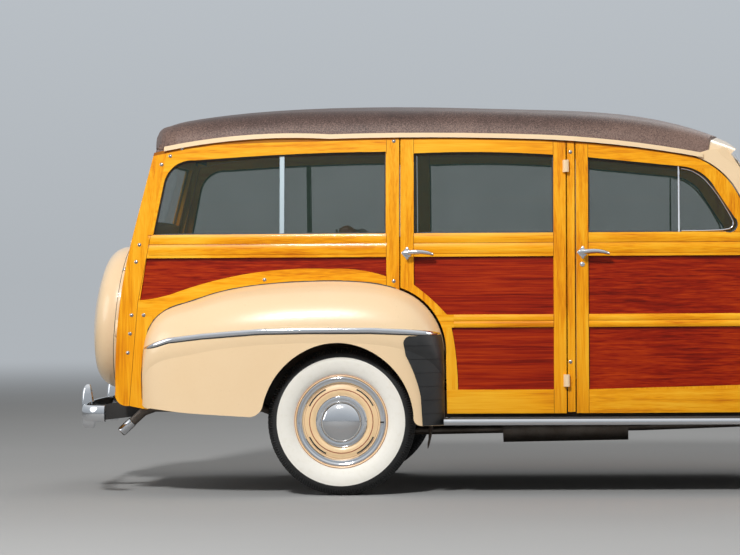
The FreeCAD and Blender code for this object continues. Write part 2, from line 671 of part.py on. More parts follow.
def front_fender_section(x, y_in, y_out, z_top, z_cat, z_bot):
    z_sh = z_bot + 0.66 * (z_top - z_bot)
    y_cr = y_in + 0.52 * (y_out - y_in)
    p = [V(x, -y, z) for y, z in ((y_in, z_bot), (y_out - 4, z_bot), (y_out, z_sh),
                                  (y_cr + 0.74 * (y_out - y_cr), z_sh + 0.74 * (z_top - z_sh)), (y_cr, z_top),
                                  (y_cr - 0.52 * (y_cr - y_in), z_cat + 0.70 * (z_top - z_cat)), (y_in, z_cat))]
    return Part.Wire([Part.makeLine(p[0], p[1]), Part.makeLine(p[1], p[2]), arc(*p[2:5]), arc(*p[4:7]),
                      Part.makeLine(p[6], p[0])])


def front_fender():
    outer = loft([front_fender_section(x, a, b, c, d, 250) for x, a, b, c, d in FRONT_FENDER])
    inner = loft([front_fender_section(x, a + SHEET, b - SHEET, c - SHEET, d - SHEET, 230)
                  for x, a, b, c, d in FRONT_FENDER[1:-1]])
    skin = outer.cut(inner)
    for b in long_band(1900, COWL_FRONT_X, -0.3, 400.0):
        skin = skin.cut(b)
    a = WHEELBASE
    below = through(((2000, 200), (2000, 372), (a - ARCH_R - 30, 366), ((a - ARCH_R - 6, 378), (a - ARCH_R + 8, 410)),
                     ((a - 262, 655), (a, 744)), ((a + 262, 655), (a + ARCH_R - 8, 410)),
                     ((a + ARCH_R + 6, 384), (a + ARCH_R + 30, 378)), (a + 804, 430), (a + 804, 200)))
    low, high = hinge_line(FRONT_HINGE_X, FRONT_DOOR_HINGES)
    notch = Part.makeCylinder(HINGE_R + GAP, HINGE_H + 2 * GAP, low - V(0, 0, HINGE_H / 2 + GAP))
    pads = hinge_pads(DOOR_FRONT_X + GAP, FRONT_DOOR_HINGES)
    return skin.cut(below).cut(notch).cut(pads[0])


# Hood, nose and grille
HOOD_AXLE = (
    # x from the front axle, half-width at the lower edge, lower edge z, crown z
    (-346, 512, 884, 1190), (-46, 466, 878, 1152), (254, 416, 860, 1098), (484, 358, 836, 1034), (624, 290, 812, 968),
    (714, 200, 792, 890), (744, 120, 784, 830),
)
HOOD = ((COWL_FRONT_X + GAP, 556, 886, 1212),) + tuple((WHEELBASE + row[0], *row[1:]) for row in HOOD_AXLE)
HOOD_SHOULDER = ((0.94, 0.46), (0.76, 0.76))


def hood():
    outer = loft([arched_section(*r, HOOD_SHOULDER) for r in HOOD])
    inner = loft([arched_section(x - (5 if i == 0 else 0), y - SHEET, z0 - 30, z1 - SHEET, HOOD_SHOULDER)
                  for i, (x, y, z0, z1) in enumerate(HOOD[:-1])])
    x, z = HOOD_HINGE
    a, b = HOOD_HINGE_Y
    hinge = fuse([rod((x, a + FIT, z), (x, b, z), LIFT_HINGE_R), block(x + 1.5, x + 18, a + FIT, b, z - 14, z + 2)])
    return fuse([outer.cut(inner), hinge, mirror(hinge)])


def bowed_slab(x_side, x_mid, depth, y, z0, z1):
    """Slab bowed forward in plan, given by its front face's X at the sides and in the middle."""
    p = [V(x_side, -y, z0), V(x_mid, 0, z0), V(x_side, y, z0)]
    q = [V(x_side - depth, y, z0), V(x_mid - depth, 0, z0), V(x_side - depth, -y, z0)]
    wire = Part.Wire([arc(*p), Part.makeLine(p[2], q[0]), arc(*q), Part.makeLine(q[2], p[0])])
    return Part.Face(wire).extrude(V(0, 0, z1 - z0))


GRILLE_Y = 330.0
GRILLE_Z = (468.0, 716.0)
GRILLE_BARS = (520.0, 592.0, 664.0)
PARKING_LAMP = (WHEELBASE + 690, 366.0, 744.0)
PARKING_R = 24.0


def nose_panel():
    """Steel panel between the fenders under the hood, with the grille opening, and the valance below."""
    a = WHEELBASE
    panel = bowed_slab(a + 700, a + 754, 40, FRONT_FENDER[-1][1] - FIT, 400, 772)
    opening = block(a + 504, a + 804, -GRILLE_Y, GRILLE_Y, *GRILLE_Z)
    arms = both(block(a + 504, a + 804, -RAIL_Y0 - 4, -RAIL_Y0 + 18, 380, 478))
    x, y, z = PARKING_LAMP
    holes = both(rod((x - 60, -y, z), (x + 60, -y, z), PARKING_R + FIT))
    return panel.cut(opening).cut(arms).cut(holes)


def parking_lamps():
    x, y, z = PARKING_LAMP
    return both(rod((x - 24, -y, z), (x + 26, -y, z), PARKING_R))


def grille():
    """Three heavy horizontal bars with a slim surround."""
    a = WHEELBASE
    low, high = GRILLE_Z
    low, high = low + FIT, high - FIT
    bars = [bowed_slab(a + 710, a + 766, 26, GRILLE_Y, z - 17, z + 17) for z in GRILLE_BARS]
    posts = [block(a + 690, a + 716, y - 12, y + 12, low, high) for y in (12.5 - GRILLE_Y, GRILLE_Y - 12.5)]
    centre = block(a + 734, a + 754, -14, 14, low, high)
    return fuse(bars + posts + [centre])


def headlamps():
    x, y, z = FRONT_FENDER[-1][0] + FIT, -610, 764
    rim = 36
    shell = Part.makeCone(96, 108, rim, V(x, y, z), V(1, 0, 0))
    lens = Part.makeSphere(230, V(x + rim - 208, y, z)).common(rod((x + rim - 6, y, z), (x + rim + 54, y, z), 98))
    return both(shell.fuse(lens))


# Bumpers

def bumper_blade(end, bend, corner, centre_x, t, z0, z1):
    """Plan-curved blade given by its outer face: the end, the middle of the bend, the corner and the centre."""
    back = math.copysign(t, end[0] - centre_x)
    shifts = ((0.0, t), (0.5 * back, 0.87 * t), (0.87 * back, 0.5 * t))
    outer = [V(x, y, z0) for x, y in (end, bend, corner)]
    inner = [V(x + dx, y + dy, z0) for (x, y), (dx, dy) in zip((end, bend, corner), shifts)]

    def far(points):
        return [V(p.x, -p.y, p.z) for p in reversed(points)]
    loop = [arc(*outer), arc(outer[2], V(centre_x, 0, z0), far(outer)[0]), arc(*far(outer)),
            Part.makeLine(far(outer)[2], far(inner)[2]), arc(*reversed(far(inner))),
            arc(far(inner)[0], V(centre_x + back, 0, z0), inner[2]), arc(*reversed(inner)),
            Part.makeLine(inner[0], outer[0])]
    return Part.Face(Part.Wire(loop)).extrude(V(0, 0, z1 - z0))


def rear_bumper():
    blade = bumper_blade((-1130, -872), (-1195, -848), (-1248, -770), -1306, 14, 360, 437)
    guard = prism(-400, -352, (REAR_FACE, 335), (REAR_FACE, 440), ((-1320, 500), (-1300, 524)), (-1284, 520), (-1272, 430),
                  (-1262, 310), ((-1300, 304), (REAR_FACE, 335)))
    return fuse([blade, guard, mirror(guard)])


def front_bumper():
    f = FRONT_FACE
    blade = bumper_blade((f - 264, -905), (f - 156, -872), (f - 94, -790), f - 20, 14, 380, 462)
    guard = prism(-372, -324, (f, 350), (f, 455), ((f - 6, 510), (f - 26, 533)), (f - 40, 528), (f - 54, 430),
                  (f - 60, 328), ((f - 26, 322), (f, 350)))
    return fuse([blade, guard, mirror(guard)])


def running_boards():
    """Boards beside the sills, and the rubber gravel shields on the rear fenders' noses."""
    front = FRONT_FENDER_X - GAP
    rear = REAR_FENDER_NOSE[-1][0] + FIT
    board = plan(*RUN_BOARD_Z, (rear, -RUN_BOARD_Y), (1980, -RUN_BOARD_Y + 6), (2030, -RUN_BOARD_Y + 40), (front, -700),
                 (front, -640), (508, -700), (508, -760), (rear, -760))
    right = Part.makeCompound([board, gravel_shield()])
    return both(right)


# Wheels

def tyre():
    w, r = TYRE_W / 2, TYRE_R
    bead, edge = 47.7, RIM_R + 1
    right = [(-bead, BEAD_R + 4), (-bead, edge), (-57, edge + 2), (-w, 287), (-0.76 * w, r - 15)]
    return revolved(right + [(0, r)] + [(-y, z) for y, z in reversed(right)], arcs=(3, 5, 7))


def wheel():
    """Rim, dished disc with its slots, hub cap and brake drum. The outside is at negative Y."""
    rim = revolved([(-56, RIM_R), (-51, RIM_R), (-48, BEAD_R + 3.7), (48, BEAD_R + 3.7), (51, RIM_R), (56, RIM_R),
                    (54, 192), (40, 188), (28, 168), (-26, 168), (-40, 188), (-54, 194)])
    disc = revolved([(-26, 172), (-44, 162), (-50, 140), (-44, 118), (-38, 90), (-34, 30), (-24, 30), (-30, 92), (-36, 120),
                     (-42, 140), (-38, 154), (-18, 172)])
    cap = revolved([(-88, 0), (-81, 55), (-52, 100), (-46, 122), (-36, 122), (-34, 0)], arcs=(1,))
    drum = revolved([(-34, 60), (-34, SPINDLE_R), (6, SPINDLE_R), (6, 132), (44, 132), (44, DRUM_R), (-14, DRUM_R),
                     (-22, 138), (-24, 60)])
    slots = []
    for i in range(4):
        s = Part.makeBox(80, 60, 9, V(-40, -60, 153))
        s.rotate(V(0, 0, 0), V(0, 1, 0), 45 + 90 * i)
        slots.append(s)
    return fuse([rim, disc.cut(Part.makeCompound(slots)), cap, drum])


WHEELS = (
    # name, x, y
    ("front_right", WHEELBASE, -TREAD_FRONT / 2), ("front_left", WHEELBASE, TREAD_FRONT / 2),
    ("rear_right", 0.0, -TREAD_REAR / 2), ("rear_left", 0.0, TREAD_REAR / 2),
)


def knuckle():
    """Right steering knuckle: backing plate, spindle, kingpin bosses and steering arm."""
    x, y, z = WHEELBASE, -TREAD_FRONT / 2, HUB_Z
    plate = rod((x, y + 46, z), (x, y + 53, z), DRUM_R - 2)
    spindle = rod((x, y - 30, z), (x, y + 62, z), SPINDLE_R - FIT)
    yoke = block(x - 22, x + 22, y + 50, -KINGPIN_Y - 25, z - 60, z + 60)
    web = [block(x - 20, x + 20, -KINGPIN_Y - 26, -KINGPIN_Y, z + a, z + b) for a, b in ((-60, -32), (32, 60))]
    boss = [rod((x, -KINGPIN_Y, z + a), (x, -KINGPIN_Y, z + b), 22) for a, b in ((-60, -32), (32, 60))]
    pin = rod((x, -KINGPIN_Y, z - 59), (x, -KINGPIN_Y, z + 59), 11)
    arm = block(x - STEER_ARM - 16, x, -KINGPIN_Y - 14, -KINGPIN_Y + 14, z - 60, z - 46)
    return fuse([plate, spindle, yoke, *web, *boss, pin, arm])


def tie_rod():
    x, z = WHEELBASE - STEER_ARM, HUB_Z - 76
    ends = [rod((x, s * KINGPIN_Y, z - 15), (x, s * KINGPIN_Y, z + 16 - FIT), 15) for s in (-1, 1)]
    return fuse([rod((x, -KINGPIN_Y, z), (x, KINGPIN_Y, z), 12), *ends])


# Chassis and running gear

def chassis_frame():
    """Kicked-up side rails, X member, cross members and the bumpers' arms."""
    a = WHEELBASE
    rail = prism(-RAIL_Y1, -RAIL_Y0, (-1020, 470), (-1020, 560), (-300, 590), (250, 590), (400, RAIL_Z),
                 (a - 446, RAIL_Z), (a - 276, 570), (a + 304, 570), (a + 524, 520), (a + 524, 430), (a + 304, 470),
                 (a - 246, 470), (a - 416, 390), (400, 390), (240, 500), (-300, 500))
    cross = [block(x, x + 70, -RAIL_Y0 - 2, RAIL_Y0 + 2, z0, z1)
             for x, z0, z1 in ((-1010, 480, 540), (-130, REAR_SPRING_Z + FIT, 540), (330, 410, 470), (2180, 366, 394),
                               (CROSS_X, FRONT_SPRING_Z + FIT, 530), (RADIATOR_X - 5, 458, RADIATOR_Z - FIT))]
    x_member = [rod((420, s * RAIL_Y0, 458), (2330, -s * RAIL_Y0, 458), 16) for s in (-1, 1)]
    rear_arm = prism(-ARM_Y - 16, -ARM_Y, (-900, 500), (-900, 405), (-1000, 370), (-1215, 346), (-1284, 360),
                     (-1284, 425), (-1200, 424), (-1110, 440), (-1040, 446), (-1015, 480))
    front_arm = prism(-RAIL_Y0 - 1, -RAIL_Y0 + 15, (a + 404, 520), (a + 404, 440), (a + 794, 385), (a + 794, 455),
                      (a + 524, 500))
    frame = fuse([rail, mirror(rail), *cross, *x_member, rear_arm, mirror(rear_arm), front_arm, mirror(front_arm)])
    return frame.cut(front_bumper()).cut(rear_bumper())


def floor():
    """Floor pan kicked up over the rear axle, inner sides, wheel houses, sills, firewall and tail panel."""
    edge = WALL + 12
    y_mid = side_y(SILL_Z, edge)
    y_front = y_mid - inset(2290)
    pan = plan(480, 492, (420, -y_mid), (PILLAR_X1, -y_mid), (2290, -y_front), (2290, y_front), (PILLAR_X1, y_mid), (420, y_mid))
    riser = block(408, 420, -y_mid + 2, y_mid - 2, 480, 640)
    y_tail = y_mid - inset(-1030) - 12
    deck = plan(628, 640, (-1030, -y_tail), (C_LINE, -y_mid + 8), (420, -y_mid + 2), (420, y_mid - 2),
                (C_LINE, y_mid - 8), (-1030, y_tail))
    tail = block(-1034, -1022, -GATE_Y + 30, GATE_Y - 30, 445, 640)
    firewall = block(2278, 2290, -700, 700, 480, 1190).common(cowl_hollow().fuse(block(2270, 2300, -520, 520, 470, 860)))
    sills = []
    for b in long_band(420, 2290, WALL + GAP, WALL + GAP + 30, RUN_BOARD_Z[1] + FIT, 500):
        sills.append(b)
    inner = band(-985, C_LINE, WALL + FIT, WALL + 8, 620, 1100)
    house = rod((0, -side_y(900) + WALL + 16, HUB_Z), (0, -610, HUB_Z), 430)
    parts = [pan, riser, deck, tail, firewall, *sills, *[mirror(s) for s in sills], inner, mirror(inner), house, mirror(house)]
    body = fuse(parts)
    well = rod((0, -800, HUB_Z), (0, -618, HUB_Z), 422)
    slots = both(block(-1040, -1015, -ARM_Y - 20, -ARM_Y + 60, 400, 575))
    x, z = TAILGATE_HINGE
    brackets = [block(x + GATE_HINGE_R + FIT, -1030, a, b, z - 8, z + 8) for a, b in GATE_HINGES]
    body = fuse([body, *brackets])
    return body.cut(well).cut(mirror(well)).cut(block(-460, 407, -800, 800, -100, 600)).cut(slots)


def leaf_spring(x, y, end_top, mid_top, end_low, mid_low):
    """Transverse spring 50 wide in front of x, bowed up in the middle."""
    p = [V(x, -y, end_top), V(x, 0, mid_top), V(x, y, end_top), V(x, y, end_low), V(x, 0, mid_low), V(x, -y, end_low)]
    edges = [arc(*p[:3]), Part.makeLine(p[2], p[3]), arc(*p[3:]), Part.makeLine(p[5], p[0])]
    return Part.Face(Part.Wire(edges)).extrude(V(50, 0, 0))


def front_axle():
    """Beam axle with raised ends and the transverse leaf spring above it."""
    x, z = WHEELBASE, HUB_Z
    half = [(0, -105), (-500, -105), (-590, -31.7), (-KINGPIN_Y, -31.7), (-KINGPIN_Y, 31.7), (-570, 31.7),
            (-480, -45), (0, -45)]
    pts = [V(x - 20, a, z + b) for a, b in half]
    beam = Part.Face(Part.makePolygon(pts + pts[:1])).extrude(V(40, 0, 0))
    eye = rod((x, -KINGPIN_Y, z - 31.7), (x, -KINGPIN_Y, z + 31.7), 21)
    beam = fuse([beam, eye]).cut(rod((x, -KINGPIN_Y, z - 40), (x, -KINGPIN_Y, z + 40), 11 + FIT))
    spring = leaf_spring(x + 40, 560, 400, FRONT_SPRING_Z, 388, 420)
    shackle = block(x + 18, x + 60, -560, -535, z - 30, 395)
    return fuse([beam, mirror(beam), spring, shackle, mirror(shackle)])


def rear_axle():
    """Live axle with its centre casing, torque tube, backing plates and transverse spring."""
    z = HUB_Z
    y = TREAD_REAR / 2
    tube = rod((0, -y + 50, z), (0, y - 50, z), 38)
    stub = rod((0, -y - 30, z), (0, y + 30, z), SPINDLE_R - FIT)
    casing = Part.makeSphere(135, V(0, 0, z)).common(block(-135, 135, -110, 110, z - 125, z + 125))
    torque = rod((90, 0, z), (COWL_FRONT_X, 0, 440), 36)
    plates = [rod((0, s * (y - 53), z), (0, s * (y - 46), z), DRUM_R - 2) for s in (-1, 1)]
    spring = leaf_spring(-120, 600, 405, REAR_SPRING_Z, 392, 440)
    hangers = [block(-110, 20, s * 580 - 12, s * 580 + 12, z, 402) for s in (-1, 1)]
    return fuse([tube, stub, casing, torque, *plates, spring, *hangers])


ENGINE_Y = 215.0


def engine():
    """Engine and gearbox as one plain mass, with its sump."""
    block_x = COWL_FRONT_X + 146
    return fuse([block(block_x, CROSS_X - FIT, -ENGINE_Y, ENGINE_Y, 480, 900),
                 block(block_x + 60, CROSS_X - 146, -140, 140, 400, 485),
                 rod((COWL_FRONT_X + 2, 0, 450), (block_x + 10, 0, 450), 88)])


def radiator():
    return block(RADIATOR_X, RADIATOR_X + 60, -300, 300, RADIATOR_Z, 960)


def exhaust():
    r = 22
    c = COWL_FRONT_X
    path = [(c + 306, -ENGINE_Y - r - FIT, 560), (c + 226, -246, 380), (c + 56, -250, 330), (1450, -250, 300),
            (-120, -250, 275), (-420, -452, 408), (-960, -452, 410), (-1010, -452, 388), (-1119, -452, 288.5)]
    pipes = [rod(a, b, r) for a, b in zip(path, path[1:])]
    joints = [Part.makeSphere(r, V(*p)) for p in path[1:-1]]
    muffler = rod((1380, -250, 298), (760, -250, 288), 66)
    hanger = block(357, 373, -256, -244, 284, 410 - FIT)
    return fuse([*pipes, *joints, muffler, hanger])


def fuel_tank():
    return block(-930, -330, -RAIL_Y0 + FIT, RAIL_Y0 - FIT, 400, 560)


# Cabin

def bench(x, base_z, width):
    """Seat cushion and leaning back, fused, with a plinth to the floor. X is the foot of the back."""
    z = base_z
    shape = ((x, z), (x, z + 250), (x - 110, z + 660), ((x - 60, z + 700), (x, z + 655)), (x + 80, z + 340),
             (x + 480, z + 365), ((x + 530, z + 340), (x + 520, z + 240)), (x + 470, z + 220), (x + 450, z))
    return prism(-width, width, *shape)


def seats():
    return Part.makeCompound([bench(1240, 492.3, 610), bench(560, 492.3, 610), bench(50, 640.3, 540)])


def dashboard():
    y = side_y(1100) - inset(2100) - WALL - 12
    return prism(-y, y, (2030, 1000), (2020, 1130), ((2040, 1180), (2090, 1195)), (2120, 1195), (2120, 1000))


def steering_wheel():
    hub = V(1830, 360, 1085)
    column = V(COWL_FRONT_X - 28, 360, 760)
    axis = (column - hub).normalize()
    ring = Part.makeTorus(215, 12, hub, axis)
    side = V(0, 1, 0)
    up = axis.cross(side).normalize()
    spokes = [rod(tuple(hub - d * 212), tuple(hub + d * 212), 9) for d in (side, up)]
    return fuse([ring, *spokes, rod(tuple(hub - axis * 12), tuple(column), 20)])


def tail_lamps():
    """Round lamps, flat against the rear posts."""
    y, z = -645, 800
    tilt = math.atan((z - REAR_Z) / REAR_R)
    out = V(-math.cos(tilt), 0, math.sin(tilt))
    return both(Part.makeCylinder(42, 10, V(rear_x(z), y, z) + out * 2 * FIT, out))


def write(name, shape):
    shape = shape.copy()
    shape.translate(V(-MIDDLE, 0, 0))
    shape.exportStep(os.path.join("parts", name + ".step"))
    print(name, len(shape.Solids), "solids", round(shape.Volume / 1e6, 2), "litres", shape.isValid())


def main():
    os.makedirs("parts", exist_ok=True)
    singles = (chassis_frame, floor, cowl_shell, body_framing, quarter_panels, fixed_glass, roof, drip_rails,
               running_boards, nose_panel, grille, headlamps, parking_lamps, front_bumper, rear_bumper, seats, dashboard,
               steering_wheel, engine, radiator, front_axle, rear_axle, exhaust, fuel_tank, tail_lamps, hood, tie_rod)
    for make in singles:
        write(make.__name__, make())
    write("front_fenders", both(front_fender()))
    write("rear_fenders", both(rear_fender()))
    for place, make in (("front", front_door), ("rear", rear_door)):
        for piece, shape in zip(("frame", "panels", "glass"), make()):
            write(f"door_{place}_right_{piece}", shape)
            write(f"door_{place}_left_{piece}", mirror(shape))
    for piece, shape in zip(("frame", "panels", "spare_cover"), tailgate()):
        write(piece if piece == "spare_cover" else f"tailgate_{piece}", shape)
    for piece, shape in zip(("frame", "glass"), liftgate()):
        write(f"liftgate_{piece}", shape)
    write("knuckle_right", knuckle())
    write("knuckle_left", mirror(knuckle()))
    for name, x, y in WHEELS:
        turn = (lambda s: s) if y < 0 else mirror
        write(f"tyre_{name}", placed(turn(tyre()), x, y, HUB_Z))
        write(f"wheel_{name}", placed(turn(wheel()), x, y, HUB_Z))


main()
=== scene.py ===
"""Looks of a late-1940s wood-bodied station wagon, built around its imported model.

Places are millimetres from the rear axle (X forward), the middle plane (Y left) and the floor (Z),
as the car is measured, and at() turns them into the row frame's metres.
"""

import bmesh
import bpy
import json
import math
from mathutils import Matrix, Vector
from mathutils.bvhtree import BVHTree

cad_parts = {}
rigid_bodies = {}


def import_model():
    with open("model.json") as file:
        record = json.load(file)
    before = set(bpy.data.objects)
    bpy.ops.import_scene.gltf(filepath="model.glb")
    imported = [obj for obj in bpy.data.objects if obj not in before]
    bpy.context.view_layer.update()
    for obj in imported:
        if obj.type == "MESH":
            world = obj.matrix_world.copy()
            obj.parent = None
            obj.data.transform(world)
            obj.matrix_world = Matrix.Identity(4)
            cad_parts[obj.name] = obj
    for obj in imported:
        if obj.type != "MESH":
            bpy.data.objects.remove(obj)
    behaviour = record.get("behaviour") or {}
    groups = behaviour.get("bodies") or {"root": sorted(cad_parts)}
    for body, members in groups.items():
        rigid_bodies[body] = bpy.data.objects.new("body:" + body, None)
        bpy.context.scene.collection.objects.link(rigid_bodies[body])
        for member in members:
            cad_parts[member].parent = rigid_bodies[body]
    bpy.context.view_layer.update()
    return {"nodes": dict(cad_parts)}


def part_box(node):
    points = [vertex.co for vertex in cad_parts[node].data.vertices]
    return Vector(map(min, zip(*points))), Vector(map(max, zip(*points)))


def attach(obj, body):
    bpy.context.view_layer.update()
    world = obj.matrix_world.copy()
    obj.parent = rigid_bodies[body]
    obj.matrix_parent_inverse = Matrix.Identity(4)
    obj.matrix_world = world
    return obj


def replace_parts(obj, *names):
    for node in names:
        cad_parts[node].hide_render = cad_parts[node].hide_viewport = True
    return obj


for stray in list(bpy.data.objects):
    bpy.data.objects.remove(stray)
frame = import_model()

MM = 0.001
SIDES = (("right", -1), ("left", 1))


def centre_of(node):
    low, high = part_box(node)
    return (low + high) / 2


AXLE_X = centre_of("tyre_rear_right").x
WHEELBASE = (centre_of("tyre_front_right").x - AXLE_X) / MM
HUB_Z = centre_of("tyre_rear_right").z / MM
HEADLAMP_Y, HEADLAMP_Z = 610, 764  # middle of the left headlamp


def at(x, y, z):
    """A point given in millimetres from the rear axle, as the row frame's metres."""
    return Vector((AXLE_X + x * MM, y * MM, z * MM))


# Shader helpers

def shade(red, green, blue):
    """Linear colour of a screen colour given from 0 to 255."""
    def linear(c):
        c /= 255
        return c / 12.92 if c <= 0.04045 else ((c + 0.055) / 1.055) ** 2.4
    return (linear(red), linear(green), linear(blue), 1.0)


class Value:
    """One socket of a finish. Arithmetic on it adds Math nodes."""

    def __init__(self, finish, socket):
        self.finish, self.socket = finish, socket

    def math(self, operation, *values):
        return self.finish.node("ShaderNodeMath", {"operation": operation}, dict(enumerate(values)))

    def __add__(self, other):
        return self.math("ADD", self, other)

    def __sub__(self, other):
        return self.math("SUBTRACT", self, other)

    def __rsub__(self, other):
        return self.math("SUBTRACT", other, self)

    def __mul__(self, other):
        return self.math("MULTIPLY", self, other)

    def __truediv__(self, other):
        return self.math("DIVIDE", self, other)

    def __pow__(self, other):
        return self.math("POWER", self, other)

    def __abs__(self):
        return self.math("ABSOLUTE", self)

    __radd__ = __add__
    __rmul__ = __mul__

    def lower(self, other):
        return self.math("MINIMUM", self, other)

    def higher(self, other):
        return self.math("MAXIMUM", self, other)

    def rise(self, low, high):
        """0 at low and 1 at high, eased. It falls where low is the larger."""
        return self.finish.node("ShaderNodeMapRange", {"interpolation_type": "SMOOTHSTEP"},
                                {"Value": self, "From Min": low, "From Max": high})

    def inside(self, low, high, soft=0.4):
        """1 between low and high."""
        return self.rise(low - soft, low + soft) * self.rise(high + soft, high - soft)


class Finish:
    """A procedural material on one Principled shader. x, y and z are millimetres as at() counts them, or if local,
    from the piece's own centre."""

    def __init__(self, name, local=False, **constants):
        self.material = bpy.data.materials.new(name)
        self.material.use_nodes = True
        self.tree = self.material.node_tree
        self.tree.nodes.clear()
        self.shader = self.tree.nodes.new("ShaderNodeBsdfPrincipled")
        output = self.tree.nodes.new("ShaderNodeOutputMaterial")
        self.tree.links.new(self.shader.outputs[0], output.inputs[0])
        for key, value in constants.items():
            self.put(key.replace("_", " ").title().replace("Ior", "IOR"), value)
        self.position = self.node("ShaderNodeTexCoord", output=3)
        self.x, self.y, self.z = (
            self.node("ShaderNodeSeparateXYZ", inputs={0: self.position}, output=i) * (1 / MM) for i in range(3))
        if not local:
            self.x = self.x - AXLE_X / MM

    def node(self, kind, settings=None, inputs=None, output=0):
        """One node: its settings first, a ramp's stops among them, then the values or links of its sockets."""
        made = self.tree.nodes.new(kind)
        for key, value in (settings or {}).items():
            if key == "stops":
                ramp = made.color_ramp
                for element, (position, colour) in zip(ramp.elements, (value[0], value[-1])):
                    element.position, element.color = position, colour
                for position, colour in value[1:-1]:
                    ramp.elements.new(position).color = colour
            else:
                setattr(made, key, value)
        for key, value in (inputs or {}).items():
            if isinstance(value, Value):
                self.tree.links.new(value.socket, made.inputs[key])
            else:
                made.inputs[key].default_value = value
        return Value(self, made.outputs[output])

    def put(self, socket, value):
        """Sets or links one socket of the shader."""
        if isinstance(value, Value):
            self.tree.links.new(value.socket, self.shader.inputs[socket])
        else:
            self.shader.inputs[socket].default_value = value

    def stretched(self, x, y, z):
        """Position in metres, multiplied along each axis."""
        return self.node("ShaderNodeVectorMath", {"operation": "MULTIPLY"}, {0: self.position, 1: (x, y, z)})

    def turned(self, mask, first, second):
        """The first vector, or the second where mask is 1."""
        return self.node("ShaderNodeMix", {"data_type": "VECTOR"}, {0: mask, 4: first, 5: second}, 1)

    def noise(self, vector, scale=1.0, detail=3.0, roughness=0.5, distortion=0.0):
        return self.node("ShaderNodeTexNoise", None, {"Vector": vector, "Scale": scale, "Detail": detail,
                                                      "Roughness": roughness, "Distortion": distortion})

    def cells(self, vector, scale):
        return self.node("ShaderNodeTexVoronoi", None, {"Vector": vector, "Scale": scale})

    def ramp(self, factor, *stops):
        return self.node("ShaderNodeValToRGB", {"stops": stops}, {0: factor})

    def mix(self, mask, first, second):
        return self.node("ShaderNodeMix", {"data_type": "RGBA"}, {0: mask, 6: first, 7: second}, 2)

    def darker(self, mask, colour, tint):
        """The colour, multiplied by tint where mask is 1."""
        return self.node("ShaderNodeMix", {"data_type": "RGBA", "blend_type": "MULTIPLY"},
                         {0: mask, 6: colour, 7: tint}, 2)

    def bump(self, height, distance, strength):
        self.put("Normal", self.node("ShaderNodeBump", None,
                                     {"Height": height, "Distance": distance * MM, "Strength": strength}))


# Finishes

CREAM = shade(240, 210, 168)
CREAM_DARK = shade(232, 196, 148)


def paint_finish(name, colour=CREAM, deep=CREAM_DARK):
    """Old enamel: even colour with faint drift, a little orange peel, and a clear gloss."""
    f = Finish(name, coat_roughness=0.05, coat_ior=1.5)
    drift = f.noise(f.position, 3.0, 2.0)
    dust = f.noise(f.position, 60.0, 4.0, 0.7)
    f.put("Base Color", f.mix((drift * 0.5 + dust * 0.2).rise(0.2, 0.9), colour, deep))
    f.put("Roughness", dust.rise(0.2, 0.8) * 0.10 + 0.26)
    f.put("Coat Weight", 0.55)
    f.bump(f.noise(f.position, 420.0, 2.0), 0.25, 0.12)
    return f.material


def wood_finish(name, pale, middle, deep, upright, long_axis="x", joint_and_shade_masks=(), gloss=0.10, wide=34.0, patches=0.35):
    """Varnished planks. upright gives the mask where the grain runs up, and joint_and_shade_masks the masks of dark
    joint lines and of painted shade.
    """
    f = Finish(name, coat_roughness=0.07, coat_ior=1.5, specular_ior_level=0.14)
    mask = upright(f) if upright else None

    def grained(along, across):
        """Place for a pattern that is drawn out along the grain."""
        def drawn_out(axis):
            return f.stretched(*(along if letter == axis else across for letter in "xyz"))
        return f.turned(mask, drawn_out(long_axis), drawn_out("z")) if mask else drawn_out(long_axis)

    figure = f.noise(grained(1.4, wide), 1.0, 3.0, 0.55, 0.8)
    pores = f.noise(grained(7.0, 300.0), 1.0, 2.0)
    tone = f.noise(f.position, 2.3, 2.0)
    level = figure * 0.5 + pores * 0.3 + (tone - 0.5) * patches + 0.175
    colour = f.ramp(level, (0.40, deep), (0.56, middle), (0.72, pale))
    if mask:
        colour = f.darker(mask * 0.5, colour, (0.93, 0.88, 0.80, 1))
    # Dark joint lines, and painted shade where the masks give it.
    for seam in joint_and_shade_masks:
        colour = f.darker(seam(f), colour, (0.28, 0.17, 0.10, 1))
    f.put("Base Color", colour)
    f.put("Roughness", pores * 0.16 + 0.24)
    f.put("Coat Weight", gloss)
    f.bump(figure * 0.5 + pores * 0.5, 0.35, 0.25)
    return f.material


# Rails of the side doors: bottom and top edges, and the lines between their mouldings
BELT = (1143, 1256)
MID = (802, 864)
LOW = (389, 503)
BELT_RIBS = (1157, 1208)
MID_RIB = 833
# Wood colours from pale to deep, and mahogany's straighter, finer figure
MAPLE = (shade(252, 188, 46), shade(242, 162, 16), shade(206, 112, 4))
MAHOGANY = (shade(182, 58, 6), shade(142, 27, 2), shade(80, 8, 1))
STRIPED = {"gloss": 0.07, "wide": 85.0, "patches": 0.16}
# X of the edge between the quarter's rails and the B pillar, and half-width of the rear gates' flat boards
PILLAR_EDGE, GATE_BOARD_Y = 216, 514.5
# Top edge of the wooden side: (x, z) from the rear post to the windscreen's foot
TOP_LINE = ((-925, 1646), (-770, 1676), (-620, 1697), (-480, 1703), (-340, 1707), (-58, 1711), (110, 1714),
            (281, 1715), (450, 1715), (620, 1713), (790, 1708.5), (957, 1702), (1180, 1686), (1400, 1664),
            (1590, 1638), (1760, 1606))


def drip_moulding_shadow(f):
    """Painted shadow: dark line along the top of the wooden side, under the drip moulding. The ramp holds the line's
    height.
    """
    first, last = TOP_LINE[0][0], TOP_LINE[-1][0]
    low, rise = 1600, 120
    stops = [((x - first) / (last - first), ((z - low) / rise,) * 3 + (1,)) for x, z in TOP_LINE]
    top = f.ramp((f.x - first) / (last - first), *stops) * rise + low
    return (top - f.z).rise(9.0, 4.5) * f.x.rise(-950, -920) * 0.85


